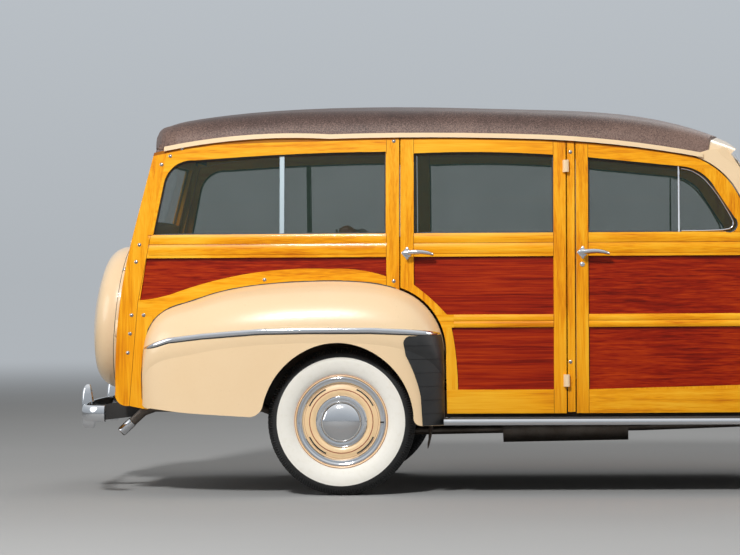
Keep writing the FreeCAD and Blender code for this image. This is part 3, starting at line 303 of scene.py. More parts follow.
def seam_at(distance, width=1.7):
    """Thin line where distance passes 0."""
    return abs(distance).rise(width, width * 0.35)


def post_edge(f):
    """Distance in front of the rear post's front edge, which leans more above the fender."""
    low = (f.z - 425) * 0.088 - 1039
    high = (f.z - 934) * 0.193 - 994
    return f.x - low.higher(high)


def door_rails(f, top):
    """1 on the rails between a door's stiles, the top one from height top."""
    return (f.z.inside(*BELT) + f.z.inside(*MID) + f.z.inside(*LOW) + f.z.rise(*top)).lower(1.0)


def door_upright(ends):
    """Rails run between the stiles, and everything else stands up."""
    def upright(f):
        return 1 - door_rails(f, (1560, 1580)) * f.x.inside(*ends)
    return upright


def rib_crease_shade(f, low, high, ends):
    """Painted shade: dark lines in the creases where a rail's mouldings meet."""
    lines = seam_at(f.z - low, 1.4).higher(seam_at(f.z - high, 2.2))
    return lines * f.x.inside(*ends) * 0.8


def door_joints_and_shade(ends):
    """Joints between a door's rails and stiles, and painted shade in the creases along its rails and under the drip
    moulding.
    """
    def lines_and_shade(f):
        lines = seam_at(f.x - ends[0]).higher(seam_at(f.x - ends[1])) * door_rails(f, (1600, 1601))
        # ribs holds painted shade in the rails' creases.
        ribs = rib_crease_shade(f, *BELT_RIBS, ends) + rib_crease_shade(f, MID_RIB, MID_RIB, ends) * 0.6
        return lines + (ribs + drip_moulding_shadow(f)).lower(1.0)
    return lines_and_shade


def framing_upright(f):
    """Rear post, B pillar and the arch over the fender stand up, and the rails and the top run level."""
    rear_post = post_edge(f).rise(0.4, -0.4)
    stile = f.x.rise(PILLAR_EDGE - 0.5, PILLAR_EDGE + 0.5)
    return rear_post.higher(stile).higher(f.z.rise(890, 860)) * f.z.rise(1658, 1656).higher(stile)


def framing_joints_and_shade(f):
    """Joints at the rear post and the B pillar, and painted shade in the creases along the belt rail and under the drip
    moulding.
    """
    rear_post = seam_at(post_edge(f)) * f.z.rise(1257, 1256)
    stile = seam_at(f.x - PILLAR_EDGE) * (f.z.inside(*BELT) + f.z.inside(1000, 1060) + f.z.rise(1640, 1641)).lower(1.0)
    return rear_post.higher(stile).higher(rib_crease_shade(f, *BELT_RIBS, (-940, PILLAR_EDGE))).higher(drip_moulding_shadow(f))


def painted_panel_shadow(f):
    """Painted shadow: the panels darker under the rails and beside the stiles, where the rails and stiles shade them.
    """
    under = f.z.inside(1127, 1144, 5) + f.z.inside(789, 803, 5)
    beside = f.x.inside(347, 352, 3) + f.x.inside(1186, 1192, 3)
    return (under + beside).lower(1.0) * 0.75


def rear_upright(f):
    """On the rear gates the outer boards run up."""
    return abs(f.y).rise(GATE_BOARD_Y - 0.5, GATE_BOARD_Y + 0.5)


def chrome_finish(name, tint=(0.68, 0.69, 0.71, 1), roughness=0.06):
    """Plated metal with faint haze."""
    f = Finish(name, metallic=1.0)
    haze = f.noise(f.position, 45.0, 3.0, 0.6)
    f.put("Base Color", tint)
    f.put("Roughness", haze.rise(0.35, 0.8) * 0.07 + roughness)
    f.bump(f.noise(f.position, 9.0, 1.0), 0.6, 0.05)
    return f.material


def plain_finish(name, colour, deep, roughness, metallic=0.0):
    """A finish with mottled colour and a fine uneven surface, for rubber, castings and underbody paint."""
    f = Finish(name, metallic=metallic)
    grime = f.noise(f.position, 7.0, 4.0, 0.6)
    grit = f.noise(f.position, 360.0, 3.0, 0.6)
    f.put("Base Color", f.mix((grime * 0.7 + grit * 0.4).rise(0.3, 0.8), colour, deep))
    f.put("Roughness", grime * 0.2 + (roughness - 0.1))
    f.bump(grit, 0.3, 0.3)
    return f.material


def roof_finish():
    """Grained dark brown fabric, stretched smooth, a little chalky on top, with a painted highlight that lightens it
    towards its lower sides.
    """
    f = Finish("roof_fabric_finish", specular_ior_level=0.35)
    grain = f.cells(f.position, 420.0)
    drift = f.noise(f.position, 4.0, 3.0, 0.6)
    worn = f.noise(f.stretched(3, 3, 3), 1.0, 4.0, 0.7)
    fleck = f.noise(f.position, 150.0, 4.0, 0.75)
    # The last term of level is a painted highlight: the fabric lighter towards the drip rails, where the light falls on
    # it.
    level = drift * 0.12 + worn * 0.10 + 0.09 + grain * 0.15 + fleck * 0.45 + f.z.rise(1860, 1720) * 0.10
    f.put("Base Color", f.ramp(level, (0.38, shade(38, 27, 25)), (0.52, shade(66, 48, 43)),
                               (0.68, shade(138, 112, 100))))
    f.put("Roughness", worn * 0.2 + 0.42)
    f.bump(grain * 0.5 + fleck * 0.5, 0.9, 0.6)
    return f.material


def glass_finish(name, colour, alpha, roughness=0.02):
    """Tinted pane with a slight haze."""
    f = Finish(name, ior=1.5)
    haze = f.noise(f.position, 5.0, 2.0)
    f.put("Base Color", f.mix(haze, colour, tuple(0.8 * c for c in colour[:3]) + (1,)))
    f.put("Roughness", haze * 0.02 + roughness)
    f.put("Alpha", haze * 0.06 + alpha)
    return f.material


def leather_finish():
    """Red-brown hide with a fine grain."""
    f = Finish("seat_leather_finish", sheen_weight=0.05)
    grain = f.cells(f.position, 520.0)
    drift = f.noise(f.position, 12.0, 3.0, 0.6)
    f.put("Base Color", f.ramp(drift, (0.3, shade(92, 46, 27)), (0.7, shade(132, 70, 42))))
    f.put("Roughness", drift * 0.2 + 0.36)
    f.bump(grain, 0.5, 0.5)
    return f.material


def tyre_finish():
    """Black rubber with a white band on the outer wall. Places count from the wheel's centre."""
    f = Finish("tyre_finish", local=True)
    radius = (f.x * f.x + f.z * f.z) ** 0.5
    white = radius.inside(222, 308, 0.6) * f.y.rise(-40, -45)
    scuff = f.noise(f.position, 40.0, 4.0, 0.6)
    rubber = f.mix(scuff, shade(13, 13, 14), shade(28, 27, 26))
    pale = f.mix(scuff.rise(0.45, 0.9), shade(240, 236, 226), shade(233, 228, 214))
    f.put("Base Color", f.mix(white, rubber, pale))
    f.put("Roughness", scuff * 0.15 + 0.55)
    f.bump(scuff, 0.4, 0.2)
    return f.material


def wheel_finish(name="wheel_finish", local=False):
    """Cream enamel with a hand-drawn red-brown line round the hub cap and fine lines at the rim's edge."""
    f = Finish(name, local=local, coat_roughness=0.05)
    height = f.z if local else f.z - HUB_Z
    rear = (f.x * f.x + height * height) ** 0.5
    if local:
        radius = rear
    else:
        front = ((f.x - WHEELBASE) * (f.x - WHEELBASE) + height * height) ** 0.5
        radius = rear.lower(front)
    waver = f.noise(f.position, 60.0, 2.0) * 2 - 1
    line = (radius + waver).inside(150, 154.5, 0.6) + radius.inside(176.5, 178.5, 0.5) * 0.7
    line = line + radius.inside(214.5, 216, 0.4) * 0.8 + radius.inside(222, 225) * 0.8
    drift = f.noise(f.position, 30.0, 3.0)
    colour = f.mix(drift, shade(246, 214, 168), shade(238, 200, 150))
    f.put("Base Color", f.mix(line.lower(1.0), colour, shade(150, 70, 42)))
    f.put("Roughness", drift * 0.08 + 0.3)
    f.put("Coat Weight", 0.5)
    return f.material


def lamp_glass_finish():
    """Pressed headlamp glass with upright flutes over a reflector, whose brightness is a painted reflection: lighter
    towards the middle and banded by the flutes.
    """
    f = Finish("lamp_glass_finish", coat_roughness=0.03)
    flutes = (f.y * 0.55).math("SINE", f.y * 0.55)
    haze = f.noise(f.position, 14.0, 2.0)
    rim = ((abs(f.y) - HEADLAMP_Y) ** 2 + (f.z - HEADLAMP_Z) ** 2) ** 0.5
    # Painted reflection: the reflector pale towards the middle, in light and dark bands along the flutes.
    painted_reflection = rim.rise(92, 30) * 0.6 + flutes * 0.3 + haze * 0.2
    f.put("Base Color", f.mix(painted_reflection, shade(70, 76, 80), shade(226, 230, 230)))
    f.put("Metallic", 0.2)
    f.put("Roughness", haze * 0.06 + 0.06)
    f.put("Coat Weight", 1.0)
    f.bump(flutes, 1.2, 0.5)
    return f.material


# Door stiles: x of their inner edges
REAR_DOOR = (348, 1020)
FRONT_DOOR = (1187, 1975)

finishes = {
    "paint": paint_finish("body_paint_finish"),
    # The maple doors and framing carry painted shade in the rails' creases and under the drip moulding, besides their
    # joint lines.
    "maple_door_rear": wood_finish("maple_door_rear", *MAPLE, door_upright(REAR_DOOR), joint_and_shade_masks=[door_joints_and_shade(REAR_DOOR)]),
    "maple_door_front": wood_finish("maple_door_front", *MAPLE, door_upright(FRONT_DOOR),
                                    joint_and_shade_masks=[door_joints_and_shade(FRONT_DOOR)]),
    "maple_framing": wood_finish("maple_framing", *MAPLE, framing_upright, joint_and_shade_masks=[framing_joints_and_shade]),
    "maple_gate": wood_finish("maple_gate", *MAPLE, rear_upright, "y"),
    "maple_trim": wood_finish("maple_trim", *MAPLE, None),
    # The side panels carry painted shadow under the rails and beside the stiles.
    "mahogany_side": wood_finish("mahogany_side", *MAHOGANY, None, joint_and_shade_masks=[painted_panel_shadow], **STRIPED),
    "mahogany_gate": wood_finish("mahogany_gate", *MAHOGANY, None, "y", **STRIPED),
    "chrome": chrome_finish("bright_metal_finish"),
    "dull_metal": chrome_finish("dull_metal_finish", (0.55, 0.54, 0.52, 1), 0.28),
    "screen_metal": chrome_finish("screen_metal_finish", (0.30, 0.35, 0.37, 1), 0.45),
    "bolt_metal": chrome_finish("bolt_metal_finish", (0.42, 0.39, 0.36, 1), 0.16),
    "roof": roof_finish(),
    "glass": glass_finish("window_glass_finish", shade(46, 66, 54), 0.30),
    "lens": glass_finish("lamp_lens_finish", shade(220, 222, 220), 0.5, 0.08),
    "leather": leather_finish(),
    "tyre": tyre_finish(),
    "wheel": wheel_finish(),
    "wheel_disc": wheel_finish("wheel_disc_finish", local=True),
    "lamp_glass": lamp_glass_finish(),
    "stripe_paint": plain_finish("stripe_paint_finish", shade(120, 40, 24), shade(96, 30, 18), 0.35),
    "seat_steel": plain_finish("seat_steel_finish", shade(92, 70, 48), shade(74, 56, 38), 0.45),
    "dark_wood": wood_finish("dark_wood_finish", shade(120, 74, 40), shade(92, 52, 26), shade(60, 32, 16), None),
    "dial": plain_finish("dial_finish", shade(226, 214, 184), shade(210, 196, 162), 0.35),
    "rubber": plain_finish("rubber_finish", shade(26, 27, 28), shade(44, 44, 44), 0.5),
    "black": plain_finish("frame_black_finish", shade(20, 20, 20), shade(40, 37, 34), 0.5),
    "engine": plain_finish("engine_paint_finish", shade(44, 62, 58), shade(70, 70, 62), 0.6),
    "floor": plain_finish("floor_metal_finish", shade(84, 66, 50), shade(58, 46, 36), 0.6),
    "exhaust": plain_finish("exhaust_finish", shade(120, 112, 104), shade(84, 74, 66), 0.45, metallic=0.8),
    "plastic": paint_finish("control_plastic_finish", shade(222, 206, 170), shade(200, 180, 140)),
    "red_lens": plain_finish("red_lens_finish", shade(150, 14, 12), shade(110, 8, 8), 0.2),
}

NODE_FINISHES = {
    # node: finish
    "body_framing": "maple_framing", "quarter_panels": "mahogany_side", "fixed_glass": "glass", "roof": "roof",
    "drip_rails": "paint", "cowl_shell": "paint", "running_boards": "rubber", "nose_panel": "paint", "grille": "chrome",
    "headlamps": "paint", "front_bumper": "chrome", "rear_bumper": "chrome", "front_fenders": "paint",
    "rear_fenders": "paint", "hood": "paint", "seats": "leather", "dashboard": "paint", "steering_wheel": "plastic",
    "engine": "engine", "radiator": "black", "front_axle": "black", "rear_axle": "black", "chassis_frame": "black",
    "parking_lamps": "lens", "floor": "floor", "exhaust": "exhaust", "fuel_tank": "black", "tail_lamps": "red_lens",
    "tie_rod": "black", "knuckle_right": "black", "knuckle_left": "black",
    "tailgate_frame": "maple_gate", "liftgate_frame": "maple_gate",
    "tailgate_panels": "mahogany_gate", "liftgate_glass": "glass", "spare_cover": "paint",
}
for side, _ in SIDES:
    for end in ("front", "rear"):
        NODE_FINISHES[f"door_{end}_{side}_frame"] = f"maple_door_{end}"
        NODE_FINISHES[f"door_{end}_{side}_panels"] = "mahogany_side"
        NODE_FINISHES[f"door_{end}_{side}_glass"] = "glass"
        NODE_FINISHES[f"tyre_{end}_{side}"] = "tyre"
        NODE_FINISHES[f"wheel_{end}_{side}"] = "wheel"

SLOTS = {
    # finish: slot of a piece that names no other
    "paint": "body_paint", "stripe_paint": "body_paint", "chrome": "bright_metal", "dull_metal": "bright_metal",
    "screen_metal": "bright_metal", "bolt_metal": "bright_metal", "rubber": "step_rubber", "black": "frame_black",
    "red_lens": "lamp", "lens": "lamp", "engine": "engine_paint", "dark_wood": "mahogany", "maple_trim": "maple",
    "mahogany_side": "mahogany", "dial": "control_plastic", "plastic": "control_plastic", "seat_steel": "seat_leather",
    "tyre": "tyre", "wheel_disc": "wheel_steel",
}


# The wooden side's outer face, as the doors and framing are cut from it

# It bows with radius SIDE_R about height SIDE_Z, where it is widest, and tapers behind C_LINE and ahead of PILLAR_X
SIDE_R, SIDE_Y, SIDE_Z = 9368, 770, 640
C_LINE, PILLAR_X = 281, 1122
REAR_TAPER, FRONT_TAPER = 0.050, 0.047
# The gates' outer face curves up to GATE_SPLIT and is straight above it
REAR_X, REAR_Z, REAR_R = -1107, 560, 2768
GATE_SPLIT, COVER_Z = 1262, 842
FRONT_FACE = WHEELBASE + 838
HANDLE_Z = 1160


def wall_y(x, z):
    """Half-width of the wooden side at x and height z."""
    y = SIDE_Y - SIDE_R + math.sqrt(SIDE_R ** 2 - (z - SIDE_Z) ** 2)
    return y - max(0, C_LINE - x) * REAR_TAPER - max(0, x - PILLAR_X) * FRONT_TAPER


def repaint(node, finish, chosen):
    """Gives a second finish to the faces of a node whose centres, in millimetres, chosen() picks."""
    mesh = frame["nodes"][node].data
    mesh.materials.append(finishes[finish])
    for face in mesh.polygons:
        c = face.center
        if chosen((c.x - AXLE_X) / MM, c.y / MM, c.z / MM):
            face.material_index = len(mesh.materials) - 1


# (x from, x to, z from, z to) of the door hinges' leaves, and heights of the plate for the handle
DOOR_HINGES = ((1060, 1100, 517, 575), (1060, 1100, 1546, 1604), (2020, 2060, 517, 575), (2020, 2060, 1121, 1179))
HANDLE_PLATE = (1130, 1190)


def finish_nodes():
    """Gives every solid its finish, and hinges, handle plates, lamp glass and header their own."""
    for node, finish in NODE_FINISHES.items():
        mesh = frame["nodes"][node].data
        mesh.materials.clear()
        mesh.materials.append(finishes[finish])

    def on_hinge(x, y, z):
        return any(a < x < b and c < z < d for a, b, c, d in DOOR_HINGES) and abs(y) > wall_y(x, z) + 0.4

    def on_handle(x, y, z):
        low, high = HANDLE_PLATE
        return low < z < high and abs(y) > wall_y(x, z) + 0.5 and not on_hinge(x, y, z)

    repaint("body_framing", "roof", lambda x, y, z: x < -840 and z > 1650 and abs(y) < 640)
    repaint("headlamps", "lamp_glass",
            lambda x, y, z: x > WHEELBASE + 734 and math.hypot(abs(y) - HEADLAMP_Y, z - HEADLAMP_Z) < 99)
    for side, _ in SIDES:
        for end in ("front", "rear"):
            repaint(f"door_{end}_{side}_frame", "paint", on_hinge)
            repaint(f"door_{end}_{side}_frame", "chrome", on_handle)


# Meshes

UP, AHEAD, LEFT = Vector((0, 0, 1)), Vector((1, 0, 0)), Vector((0, 1, 0))


def heading(points, i, looped=False):
    """Direction of a path at its point i."""
    last = len(points) - 1
    before = points[i - 1] if i or looped else points[0]
    after = points[(i + 1) % len(points)] if i < last or looped else points[last]
    return (after - before).normalized()


class Form:
    """Vertices and faces of one piece, added part by part in the row frame."""

    def __init__(self):
        self.verts, self.faces = [], []

    def loft(self, rings, closed=True, looped=False):
        """Skins rings of equal length. closed joins each ring's ends, and looped the last ring to the first."""
        first, n = len(self.verts), len(rings[0])
        for ring in rings:
            self.verts += [Vector(p) for p in ring]
        spans = [(i, (i + 1) % len(rings)) for i in range(len(rings) if looped else len(rings) - 1)]
        for i, j in spans:
            for k in range(n if closed else n - 1):
                m = (k + 1) % n
                self.faces.append((first + i * n + k, first + i * n + m, first + j * n + m, first + j * n + k))
        if closed and not looped:
            self.faces.append(tuple(first + k for k in reversed(range(n))))
            self.faces.append(tuple(first + (len(rings) - 1) * n + k for k in range(n)))
        return self

    def sweep(self, points, section, normals, looped=False, scale=None):
        """Sweeps a section of (aside, outward) millimetres along points whose outward directions are given."""
        rings = []
        for i, p in enumerate(points):
            along = heading(points, i, looped)
            out = normals[i] - along * along.dot(normals[i])
            out.normalize()
            aside = along.cross(out)
            s = scale[i] if scale else 1.0
            rings.append([p + (aside * a * s + out * b * s) * MM for a, b in section])
        return self.loft(rings, looped=looped)

    def tube(self, points, radius, sides=14):
        """Round bar along points. radius is in millimetres, one for all or one for each point."""
        radii = radius if isinstance(radius, (list, tuple)) else [radius] * len(points)
        rings, across = [], heading(points, 0).orthogonal()
        for i, p in enumerate(points):
            along = heading(points, i)
            across = (across - along * along.dot(across)).normalized()
            other = along.cross(across)
            rings.append([p + (across * math.cos(t) + other * math.sin(t)) * radii[i] * MM
                          for t in (2 * math.pi * k / sides for k in range(sides))])
        return self.loft(rings)

    def revolve(self, profile, centre, axis, steps=48):
        """Turns (along, radius) millimetres round an axis. A radius of 0 at an end closes there."""
        axis = axis.normalized()
        across = axis.orthogonal().normalized()
        other = axis.cross(across)
        rings = []
        for k in range(steps):
            t = 2 * math.pi * k / steps
            out = across * math.cos(t) + other * math.sin(t)
            rings.append([centre + (axis * a + out * r) * MM for a, r in profile])
        return self.loft(rings, closed=False, looped=True)

    def mirrored(self):
        other = Form()
        other.verts = [Vector((p.x, -p.y, p.z)) for p in self.verts]
        other.faces = [tuple(reversed(f)) for f in self.faces]
        return other

    def join(self, other):
        first = len(self.verts)
        self.verts += other.verts
        self.faces += [tuple(first + i for i in f) for f in other.faces]
        return self

    def on_side(self, s):
        """The form is made on the right; s of 1 gives it on the left."""
        return self.mirrored() if s > 0 else self

    def along(self, points, section, out, looped=False, scale=None):
        """Sweep whose outward direction is the same all along."""
        return self.sweep(points, section, [out] * len(points), looped, scale)

    def make(self, name, body, finish, slot=None, sharp=38.0):
        """The piece itself, smooth but for edges of more than sharp degrees, on its body. The slot argument is not
        used.
        """
        mesh = bpy.data.meshes.new(name)
        mesh.from_pydata(self.verts, [], self.faces)
        mesh.validate()
        clean_up(mesh)
        mesh.materials.append(finishes[finish])
        made = bpy.data.objects.new(name, mesh)
        bpy.context.scene.collection.objects.link(made)
        for face in mesh.polygons:
            face.use_smooth = True
        mesh.set_sharp_from_angle(angle=math.radians(sharp))
        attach(made, body)
        slot or SLOTS[finish]
        return made

    def make_pair(self, name, body, finish):
        """The piece on the right and its mirror image on the left. A body other than the root and the hood is named by
        its side.
        """
        for side, s in SIDES:
            rides = body if body in ("root", "hood") else f"{body}_{side}"
            self.on_side(s).make(f"{name}_{side}", rides, finish)


def clean_up(mesh):
    """Merges doubled points and turns all faces outward."""
    work = bmesh.new()
    work.from_mesh(mesh)
    bmesh.ops.remove_doubles(work, verts=work.verts, dist=2e-6)
    bmesh.ops.recalc_face_normals(work, faces=work.faces)
    work.to_mesh(mesh)
    work.free()


def extent(node):
    """Lowest and highest corner of a node in millimetres, as at() counts them."""
    return [((corner.x - AXLE_X) / MM, corner.y / MM, corner.z / MM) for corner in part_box(node)]


def skin_of(*nodes):
    """A tree to cast rays on, of the outer faces of these nodes."""
    verts, faces = [], []
    for node in nodes:
        mesh = frame["nodes"][node].data
        first = len(verts)
        verts += [v.co.copy() for v in mesh.vertices]
        faces += [tuple(first + i for i in f.vertices) for f in mesh.polygons]
    return BVHTree.FromPolygons(verts, faces)


def skin_point(skin, start, direction):
    """Where a ray from start meets the skin."""
    return skin.ray_cast(start, direction)[0]


def side_hit(skin, x, z):
    """Point and outward normal where a ray from the right meets the skin."""
    point, normal, _, _ = skin.ray_cast(at(x, -1500, z), LEFT)
    if point is not None and normal.y > 0:
        normal = -normal
    return point, normal


def along_skin(skin, path):
    """Points and outward normals where a side-view path meets the skin, seen from the right."""
    hits = [side_hit(skin, x, z) for x, z in resampled(path, 30.0)]
    return [h for h in hits if h[0] is not None]


def strip_on(skin, path, section, scale):
    hits = along_skin(skin, path)
    shares = [scale(i / (len(hits) - 1)) for i in range(len(hits))]
    return Form().sweep([p for p, _ in hits], section, [m for _, m in hits], scale=shares)


def tapered(first, last):
    """Scale along a strip that narrows to first and last at its ends."""
    def scale(u):
        return min(1.0, first + (1 - first) * u / 0.12, last + (1 - last) * (1 - u) / 0.04)
    return scale


def wall_hit(x, z):
    """Point and outward normal on the right-hand wooden side."""
    y = wall_y(x, z)
    step = 5.0
    slope = (wall_y(x, z + step) - wall_y(x, z - step)) / (2 * step)
    return at(x, -y, z), Vector((0, -1, -slope)).normalized()


def arc_points(a, m, b, n=10):
    """n points after a, to b, on the arc through m."""
    (ax, az), (bx, bz), (cx, cz) = a, m, b
    d = 2 * (ax * (bz - cz) + bx * (cz - az) + cx * (az - bz))
    a2, b2, c2 = ax * ax + az * az, bx * bx + bz * bz, cx * cx + cz * cz
    x = (a2 * (bz - cz) + b2 * (cz - az) + c2 * (az - bz)) / d
    z = (a2 * (cx - bx) + b2 * (ax - cx) + c2 * (bx - ax)) / d
    r = math.hypot(ax - x, az - z)
    t0, tm, t1 = (math.atan2(q[1] - z, q[0] - x) for q in (a, m, b))
    turn = 2 * math.pi
    forward = (t1 - t0) % turn
    if (tm - t0) % turn > forward:
        forward -= turn
    return [(x + r * math.cos(t0 + forward * k / n), z + r * math.sin(t0 + forward * k / n)) for k in range(1, n + 1)]


def outline(start, *segments):
    """Points of a closed side-view outline. A segment is (x, z), or ((xm, zm), (x, z)) for an arc."""
    points = [start]
    for segment in segments:
        if isinstance(segment[0], tuple):
            points += arc_points(points[-1], *segment)
        else:
            points.append(segment)
    return points


def resampled(points, step):
    """Points along a polyline, a step apart or less, with its corners kept."""
    made = [points[0]]
    for a, b in zip(points, points[1:]):
        n = max(1, math.ceil(math.dist(a, b) / step))
        made += [tuple(p + (q - p) * k / n for p, q in zip(a, b)) for k in range(1, n + 1)]
    return made


def half_round(width, height, n=6):
    """Section of a half-round moulding, its flat back a little under the surface."""
    arc = [(-width / 2 * math.cos(math.pi * k / n), height * math.sin(math.pi * k / n)) for k in range(n + 1)]
    return [(-width / 2, -1.0)] + arc + [(width / 2, -1.0)]


# Windows: seals and the front door's vent frame

WINDOWS = {
    "rear": outline((348, 1256), (1020, 1256), (1020, 1631), ((690, 1646), (348, 1642))),
    "front": outline((1187, 1256), (1845, 1256), ((1903, 1278), (1890, 1325)), (1800, 1462),
                     ((1745, 1530), (1655, 1570)), (1187, 1618)),
    "quarter": outline((-921, 1256), (213, 1256), (213, 1651), ((-190, 1645), (-594, 1625)), (-720, 1617),
                       ((-820, 1588), (-869, 1510))),
}
GLASS_DEPTH = 22.0
# Upright bar of the quarter window, and the vent pane's post
QUARTER_BAR_X, VENT_POST_X = -293, 1623
BAR_SECTION = ((-13, -2), (-11, -5), (11, -5), (13, -2), (13, 3), (-13, 3))
VENT_HOOP = ((VENT_POST_X + 12, 1564), (1660, 1559), (1691, 1550), (1724, 1530), (1752, 1507), (1785, 1468),
             (1813, 1430), (1836, 1394), (1857, 1358), (1873, 1330), (1884, 1306), (1885, 1292), (1878, 1280),
             (1864, 1271), (1830, 1265), (1739, 1262), (VENT_POST_X + 12, 1262))


def under_wall(points, depth):
    """Points at a depth inside the wooden side's outer face."""
    hits = [wall_hit(x, z) for x, z in points]
    return [p - n * depth * MM for p, n in hits]


def window_seals():
    """Rubber beads along the panes' edges, and the quarter window's bar."""
    section = [(-7, -4), (-7, 3), (-2.8, 6), (2.8, 6), (7, 3), (7, -4)]
    for window, body in (("rear", "door_rear"), ("front", "door_front"), ("quarter", "root")):
        points = WINDOWS[window]
        edge = under_wall(resampled(points + [points[0]], 60.0)[:-1], GLASS_DEPTH)
        Form().along(edge, section, -LEFT, looped=True).make_pair(f"window_seal_{window}", body, "rubber")
    ends = [wall_hit(QUARTER_BAR_X, z)[0] + LEFT * GLASS_DEPTH * MM for z in (1254, 1643)]
    Form().loft([[p + Vector((dx, dy, 0)) * MM for dx, dy in BAR_SECTION] for p in ends]).make_pair(
        "quarter_glass_edge", "root", "screen_metal")


def vent_frames():
    """Bright frame of the front door's pivoting vent pane."""
    form = Form()
    for path in (((VENT_POST_X, 1256), (VENT_POST_X, 1578)), VENT_HOOP):
        form.along(under_wall(path, GLASS_DEPTH - 5), half_round(9, 6), -LEFT)
    form.make_pair("vent_frame", "door_front", "chrome")


# Handles and bolts

def dome(form, point, normal, radius, height):
    """Round head of a bolt on a surface."""
    profile = [(-1.0, radius), (height * 0.35, radius * 0.97), (height * 0.8, radius * 0.6), (height, 0.0)]
    return form.revolve(profile, point, normal, 16)


def handle_form(x, z):
    """Four-lobed plate, round boss and a curved lever that tapers forward."""
    point, normal = wall_hit(x, z)
    form = Form()
    rings = []
    for height, size in ((-1, 1.0), (3, 1.0), (5.5, 0.88), (6.5, 0.6)):
        ring = []
        for k in range(48):
            t = 2 * math.pi * k / 48
            r = (25 + 5.5 * math.cos(4 * t)) * size
            ring.append(point + (AHEAD * math.cos(t) * r * 0.86 + UP * math.sin(t) * r + normal * height) * MM)
        rings.append(ring)
    form.loft(rings)
    form.revolve([(0, 13), (14, 12), (30, 11.5), (40, 14), (52, 13.5), (55, 9), (56, 0)], point, normal, 24)
    lever = [(-8, 46, 0), (18, 47, 2), (46, 51, 4), (76, 52, 3), (102, 48, -1), (122, 40, -7), (128, 34, -11)]
    radii = [11.5, 11.5, 10.5, 9.5, 8.5, 7.5, 4.5]
    return form.tube([point + (AHEAD * a + normal * b + UP * c) * MM for a, b, c in lever], radii, 18)


BOLTS = (
    # (x, z) of each head on the framing
    (-782, 1676), (-839, 1639), (-881, 1598), (-987, 1209), (-1003, 1126), (-1025, 868), (-966, 868), (-1033, 778),
    (-1044, 686), (-375, 1036), (252, 1702), (252, 1026), (1103, 1643), (1099, 635),
)


def side_hardware():
    """Door handles, the front one with its lock, and the bolt heads."""
    handle_form(316, HANDLE_Z).make_pair("handle_rear", "door_rear", "chrome")
    lock = wall_hit(1158, HANDLE_Z - 57)
    handle_form(1160, HANDLE_Z).revolve([(-1, 12), (3, 11.5), (4.5, 9), (5, 0)], *lock, 24).make_pair(
        "handle_front", "door_front", "chrome")
    heads = Form()
    for x, z in BOLTS:
        dome(heads, *wall_hit(x, z), 9.0, 4.5)
    heads.make_pair("bolts_root", "root", "bolt_metal")


# Rear fender strips and running boards

FENDER_STRIP = ((-955, 709), (-931, 716), (-829, 748), (-662, 768), (-490, 782), (-377, 790), (-152, 794), (149, 793),
                (320, 785), (474, 774))


def fender_strips():
    """Bright half-round strip along each rear fender, pointed at its tail, over a dark rubber bead that stands in for
    the shadow under the strip.
    """
    hits = along_skin(skin_of("rear_fenders"), FENDER_STRIP)
    outs = [m for _, m in hits]
    last = len(hits) - 1
    scale = [min(1.0, 0.42 + i / 4) * min(1.0, 0.3 + (last - i) / 2) for i in range(last + 1)]
    Form().sweep([p for p, _ in hits], half_round(25, 6, 8), outs, scale=scale).make_pair(
        "fender_strip_rear", "root", "chrome")
    # The dark bead under the strip is a painted shadow.
    edge = [p - UP * 12.5 * MM * k for (p, _), k in zip(hits, scale)]
    Form().sweep(edge, half_round(9, 5), outs, scale=scale).make_pair("fender_strip_shadow_bead", "root", "rubber")


def running_board_trim():
    """Bright edge strip and lengthwise rubber ribs."""
    edge = [at(x, y, 352) for x, y in ((495, -869), (1980, -863), (2010, -846), (2030, -829))]
    section = [(-14, -2), (-14, 3), (-9, 7), (0, 8.5), (9, 7), (14, 3), (14, -2)]
    Form().along(edge, section, -LEFT).make_pair("running_board_edge", "root", "chrome")
    ribs = Form()
    for k in range(8):
        y = -850 + k * 18
        ribs.along([at(520, y, 368), at(1960, y + 5, 368)], [(-5, -1), (-4, 3), (4, 3), (5, -1)], UP)
    ribs.make_pair("running_board_ribs", "root", "rubber")


# Wheels

TREAD_STEPS = 360
TYRE_PROFILE = (
    # y, radius
    (-47.5, 208), (-47.7, 223), (-57, 225), (-66, 234), (-73, 248), (-78, 266), (-80, 287), (-79, 300), (-77.5, 306),
    (-77.5, 309), (-74, 322), (-69, 334), (-62, 342), (-56, 346),
)
GROOVES = (-40, -20, 0, 20, 40)
TREAD_RADIUS = 354.5
ZIGZAG, NOTCH_DEPTH = 3.0, 6.5


def tyre_form():
    """Tyre round its own centre, outside at negative Y: smooth walls, zigzag ribs and notched shoulders."""
    right = [(y, r, 0) for y, r in TYRE_PROFILE]
    tread = []
    for g in GROOVES:
        for dy, r in ((-3.5, 0), (-2.0, -7), (2.0, -7), (3.5, 0)):
            crown = TREAD_RADIUS - (g / 62) ** 2 * 4.0
            tread.append((g + dy, crown + r, 1))
    profile = right + tread + [(-y, r, 0) for y, r, _ in reversed(right)]
    rings = []
    for k in range(TREAD_STEPS):
        t = 2 * math.pi * k / TREAD_STEPS
        zigzag = ZIGZAG if (k // 2) % 2 else -ZIGZAG
        notch = k % 2 == 0
        ring = []
        for y, r, moves in profile:
            if moves:
                y += zigzag
            if notch and abs(y) > 55 and 330 <= r <= 347:
                r -= NOTCH_DEPTH
            ring.append(Vector((math.cos(t) * r, y, math.sin(t) * r)) * MM)
        rings.append(ring)
    return Form().loft(rings, looped=True)


